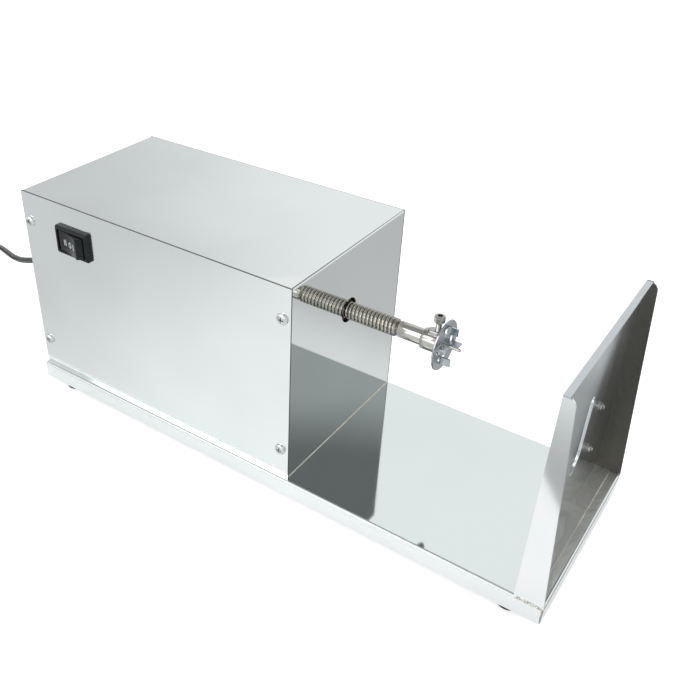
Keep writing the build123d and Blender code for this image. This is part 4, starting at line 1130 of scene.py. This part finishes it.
def build_camera():
    camera = bpy.data.cameras.new("studio_camera")
    camera.lens = 44.06
    camera.sensor_width = 36.0
    camera.shift_x = 0.10
    camera.shift_y = -0.0066
    camera.clip_start = 0.02
    forward = Vector(CAMERA_FORWARD).normalized()
    right = Vector(CAMERA_RIGHT)
    right = (right - forward * right.dot(forward)).normalized()
    turn = Matrix((right, right.cross(forward), -forward)).transposed().to_4x4()
    obj = link("studio_camera", camera)
    obj.matrix_world = Matrix.Translation(CAMERA_PLACE) @ turn
    bpy.context.scene.camera = obj


def seen_rays(tree):
    """1 for what is seen directly, in a reflection or through glass, and 1 for directly alone."""
    rays = add_node(tree, "ShaderNodeLightPath").outputs
    seen = rays["Is Camera Ray"]
    for name in ("Is Glossy Ray", "Is Transmission Ray"):
        seen = add_math(tree, "MAXIMUM", seen, rays[name])
    return seen, rays["Is Camera Ray"]


def stage_material(obj):
    """A new material on a piece of the studio, as its nodes."""
    material = bpy.data.materials.new(obj.name)
    material.use_nodes = True
    obj.data.materials.append(material)
    return material.node_tree


def build_floor():
    bm = bmesh.new()
    bmesh.ops.create_grid(bm, x_segments=1, y_segments=1, size=6.0)
    floor = link_mesh("studio_floor", bm)
    tree = stage_material(floor)
    shader = tree.nodes["Principled BSDF"]
    shader.inputs["Base Color"].default_value = (0.86, 0.86, 0.86, 1.0)
    shader.inputs["Roughness"].default_value = 0.9
    shader.inputs["Specular IOR Level"].default_value = 0.0
    seen, direct = seen_rays(tree)
    reflected = add_math(tree, "MULTIPLY", seen, FLOOR_REFLECTED)
    strength = add_math(tree, "MULTIPLY_ADD", direct, FLOOR_SEEN, reflected)
    glow = add_node(tree, "ShaderNodeEmission", {"Color": WHITE, "Strength": strength})
    layers = {0: shader.outputs["BSDF"], 1: glow.outputs["Emission"]}
    both = add_node(tree, "ShaderNodeAddShader", layers)
    tree.links.new(both.outputs["Shader"], tree.nodes["Material Output"].inputs["Surface"])


def build_surroundings():
    world = bpy.data.worlds.new("studio_surroundings")
    bpy.context.scene.world = world
    world.use_nodes = True
    tree = world.node_tree
    lit = tree.nodes["Background"]
    lit.inputs["Color"].default_value = (0.90, 0.92, 0.93, 1.0)
    lit.inputs["Strength"].default_value = 0.72
    white = add_node(tree, "ShaderNodeBackground", {"Color": WHITE})
    shaders = {1: lit.outputs["Background"], 2: white.outputs["Background"]}
    mix = add_node(tree, "ShaderNodeMixShader", {0: seen_rays(tree)[0], **shaders})
    tree.links.new(mix.outputs["Shader"], tree.nodes["World Output"].inputs["Surface"])


def lamp(name, place, size, power):
    """A soft lamp over the object, turned to its middle."""
    light = bpy.data.lights.new(name, "AREA")
    light.shape = "RECTANGLE"
    light.size, light.size_y = size
    light.energy = power
    obj = link(name, light)
    way = (Vector((0.0, 0.0, 0.1)) - Vector(place)).normalized()
    obj.matrix_world = Matrix.Translation(place) @ way.to_track_quat("-Z", "Y").to_matrix().to_4x4()


def card(name, corners, tones, start, end):
    """A grey card that only reflections show: its tone runs from one place to another."""
    bm = bmesh.new()
    bm.faces.new([bm.verts.new(corner) for corner in corners])
    obj = link_mesh(name, bm)
    tree = stage_material(obj)
    way = Vector(end) - Vector(start)
    heading = way.normalized()
    begin = Vector(start).dot(heading)
    coords = add_node(tree, "ShaderNodeTexCoord").outputs["Object"]
    inputs = {0: coords, 1: heading}
    along = add_node(tree, "ShaderNodeVectorMath", inputs, operation="DOT_PRODUCT")
    inputs = dict(enumerate((along.outputs["Value"], begin, begin + way.length, *tones)))
    fade = add_node(tree, "ShaderNodeMapRange", inputs, interpolation_type="SMOOTHSTEP")
    inputs = {"Color": (0.975, 1.0, 1.0, 1.0), "Strength": fade.outputs["Result"]}
    glow = add_node(tree, "ShaderNodeEmission", inputs)
    tree.links.new(glow.outputs["Emission"], tree.nodes["Material Output"].inputs["Surface"])
    for rays in ("camera", "diffuse", "shadow", "transmission"):
        setattr(obj, f"visible_{rays}", False)


def floor_card(name, corners, tones, start, end):
    """A card lying on the floor, given by places seen from above."""
    over = 0.5 * MM
    card(name, [(x, y, over) for x, y in corners], tones, (*start, over), (*end, over))


def wall_card(name, left, right, heights, tones, start, end):
    """An upright card between two places on the floor."""
    low, high = heights
    corners = [(*left, low), (*right, low), (*right, high), (*left, high)]
    card(name, corners, tones, start, end)


def build_lights():
    lamp("key_softbox", (-0.9, -1.5, 1.9), (1.6, 1.2), 14.0)
    lamp("overhead_softbox", (0.3, 0.3, 2.2), (2.2, 1.8), 11.0)
    wall_card(
        "far_right_card", (0.28, 1.29), (0.98, 0.89), (0.70, 2.2),
        (0.47, 0.18), (0, 0, 0.90), (0, 0, 1.15),
    )
    wall_card(
        "far_left_card", (-1.55, 0.60), (-0.50, 1.50), (0.25, 1.08),
        (0.68, 1.0), (-1.35, 0.8, 0), (-0.7, 1.35, 0),
    )
    floor_card(
        "front_card", [(-0.9, -0.6), (0.05, -0.6), (0.05, -0.112), (-0.9, -0.112)],
        (0.72, 1.04), (-0.45, 0), (-0.08, 0),
    )
    floor_card(
        "stand_card", [(0.08, -0.411), (0.34, -0.095), (0.34, -0.6), (0.08, -0.6)],
        (0.50, 0.92), (0.20, -0.26), (0.20, -0.42),
    )
    floor_card(
        "right_card", [(0.272, -0.1), (1.0, -0.1), (1.0, 1.0), (0.272, 1.0)],
        (0.46, 0.66), (0.28, 0.22), (0.28, 0.30),
    )
    floor_card(
        "back_card", [(-0.3, 0.105), (0.262, 0.105), (0.262, 0.8), (-0.3, 0.8)],
        (0.80, 0.58), (0, 0.12), (0, 0.23),
    )
    card(
        "sky_card", [(-1.6, -0.78, 1.5), (0.8, -0.78, 1.5), (0.8, 1.05, 1.5), (-1.6, 1.05, 1.5)],
        (0.45, 0.45), (0, 0, 1.5), (0, 1, 1.5),
    )
    wall_card(
        "bright_card", (-2.0, -1.2), (0.5, -1.2), (0.24, 0.78),
        (2.4, 2.4), (0, 0, 0), (0, 0, 1),
    )


# ---- operators, panel and running ----


class CUTTER_OT_stage(bpy.types.Operator):
    """Sets the camera, the floor, the surroundings and the lamps"""

    bl_idname = "cutter.stage"
    bl_label = "Studio"

    def execute(self, context):
        build_camera()
        build_floor()
        build_surroundings()
        build_lights()
        return {"FINISHED"}


class CUTTER_OT_cord(bpy.types.Operator):
    """Lays the mains cord with its strain relief and plug"""

    bl_idname = "cutter.cord"
    bl_label = "Mains cord"

    def execute(self, context):
        build_cord()
        return {"FINISHED"}


class CUTTER_OT_base(bpy.types.Operator):
    """Finishes the base tray, its fasteners and the rubber feet"""

    bl_idname = "cutter.base"
    bl_label = "Base and feet"

    def execute(self, context):
        build_base()
        return {"FINISHED"}


class CUTTER_OT_housing(bpy.types.Operator):
    """Finishes the housing's sheets and makes the panel screws' heads"""

    bl_idname = "cutter.housing"
    bl_label = "Housing"

    def execute(self, context):
        build_housing()
        return {"FINISHED"}


class CUTTER_OT_switch(bpy.types.Operator):
    """Makes the rocker switch, its bezel and its marks"""

    bl_idname = "cutter.switch"
    bl_label = "Rocker switch"

    def execute(self, context):
        build_switch()
        return {"FINISHED"}


class CUTTER_OT_stand(bpy.types.Operator):
    """Finishes the blade stand and the knife, with their welds, bolts and nuts"""

    bl_idname = "cutter.stand"
    bl_label = "Blade stand and knife"

    def execute(self, context):
        build_stand()
        return {"FINISHED"}


class CUTTER_OT_screw(bpy.types.Operator):
    """Cuts the lead screw's helical thread"""

    bl_idname = "cutter.screw"
    bl_label = "Lead screw"

    def execute(self, context):
        build_screw()
        return {"FINISHED"}


class CUTTER_OT_chuck(bpy.types.Operator):
    """Makes the chuck: hub, clamp screw, pronged disc and centre pin"""

    bl_idname = "cutter.chuck"
    bl_label = "Pronged chuck"

    def execute(self, context):
        build_chuck()
        return {"FINISHED"}


class CUTTER_OT_drive(bpy.types.Operator):
    """Finishes the motor, gearbox, slide and wiring pieces inside the housing"""

    bl_idname = "cutter.drive"
    bl_label = "Drive inside"

    def execute(self, context):
        build_drive()
        return {"FINISHED"}


STEPS = (
    CUTTER_OT_stage,
    CUTTER_OT_cord,
    CUTTER_OT_base,
    CUTTER_OT_housing,
    CUTTER_OT_switch,
    CUTTER_OT_stand,
    CUTTER_OT_screw,
    CUTTER_OT_chuck,
    CUTTER_OT_drive,
)


class CUTTER_PT_sidebar(bpy.types.Panel):
    """Lists the cutter's sizes and building steps"""

    bl_idname = "CUTTER_PT_sidebar"
    bl_label = "Potato cutter"
    bl_space_type = "VIEW_3D"
    bl_region_type = "UI"
    bl_category = "Cutter"

    def draw(self, context):
        column = self.layout.column()
        for name in CutterSettings.__annotations__:
            column.prop(context.scene.cutter, name)
        for step in STEPS:
            column.operator(step.bl_idname)


def register():
    for item in (CutterSettings, *STEPS, CUTTER_PT_sidebar):
        bpy.utils.register_class(item)
    bpy.types.Scene.cutter = bpy.props.PointerProperty(type=CutterSettings)


def unregister():
    del bpy.types.Scene.cutter
    for item in (CUTTER_PT_sidebar, *reversed(STEPS), CutterSettings):
        bpy.utils.unregister_class(item)


def main():
    register()
    bpy.context.scene.view_settings.view_transform = "Standard"
    MATERIALS.update(make_materials())
    for step in STEPS:
        group, name = step.bl_idname.split(".")
        getattr(getattr(bpy.ops, group), name)()


if __name__ == "__main__":
    main()
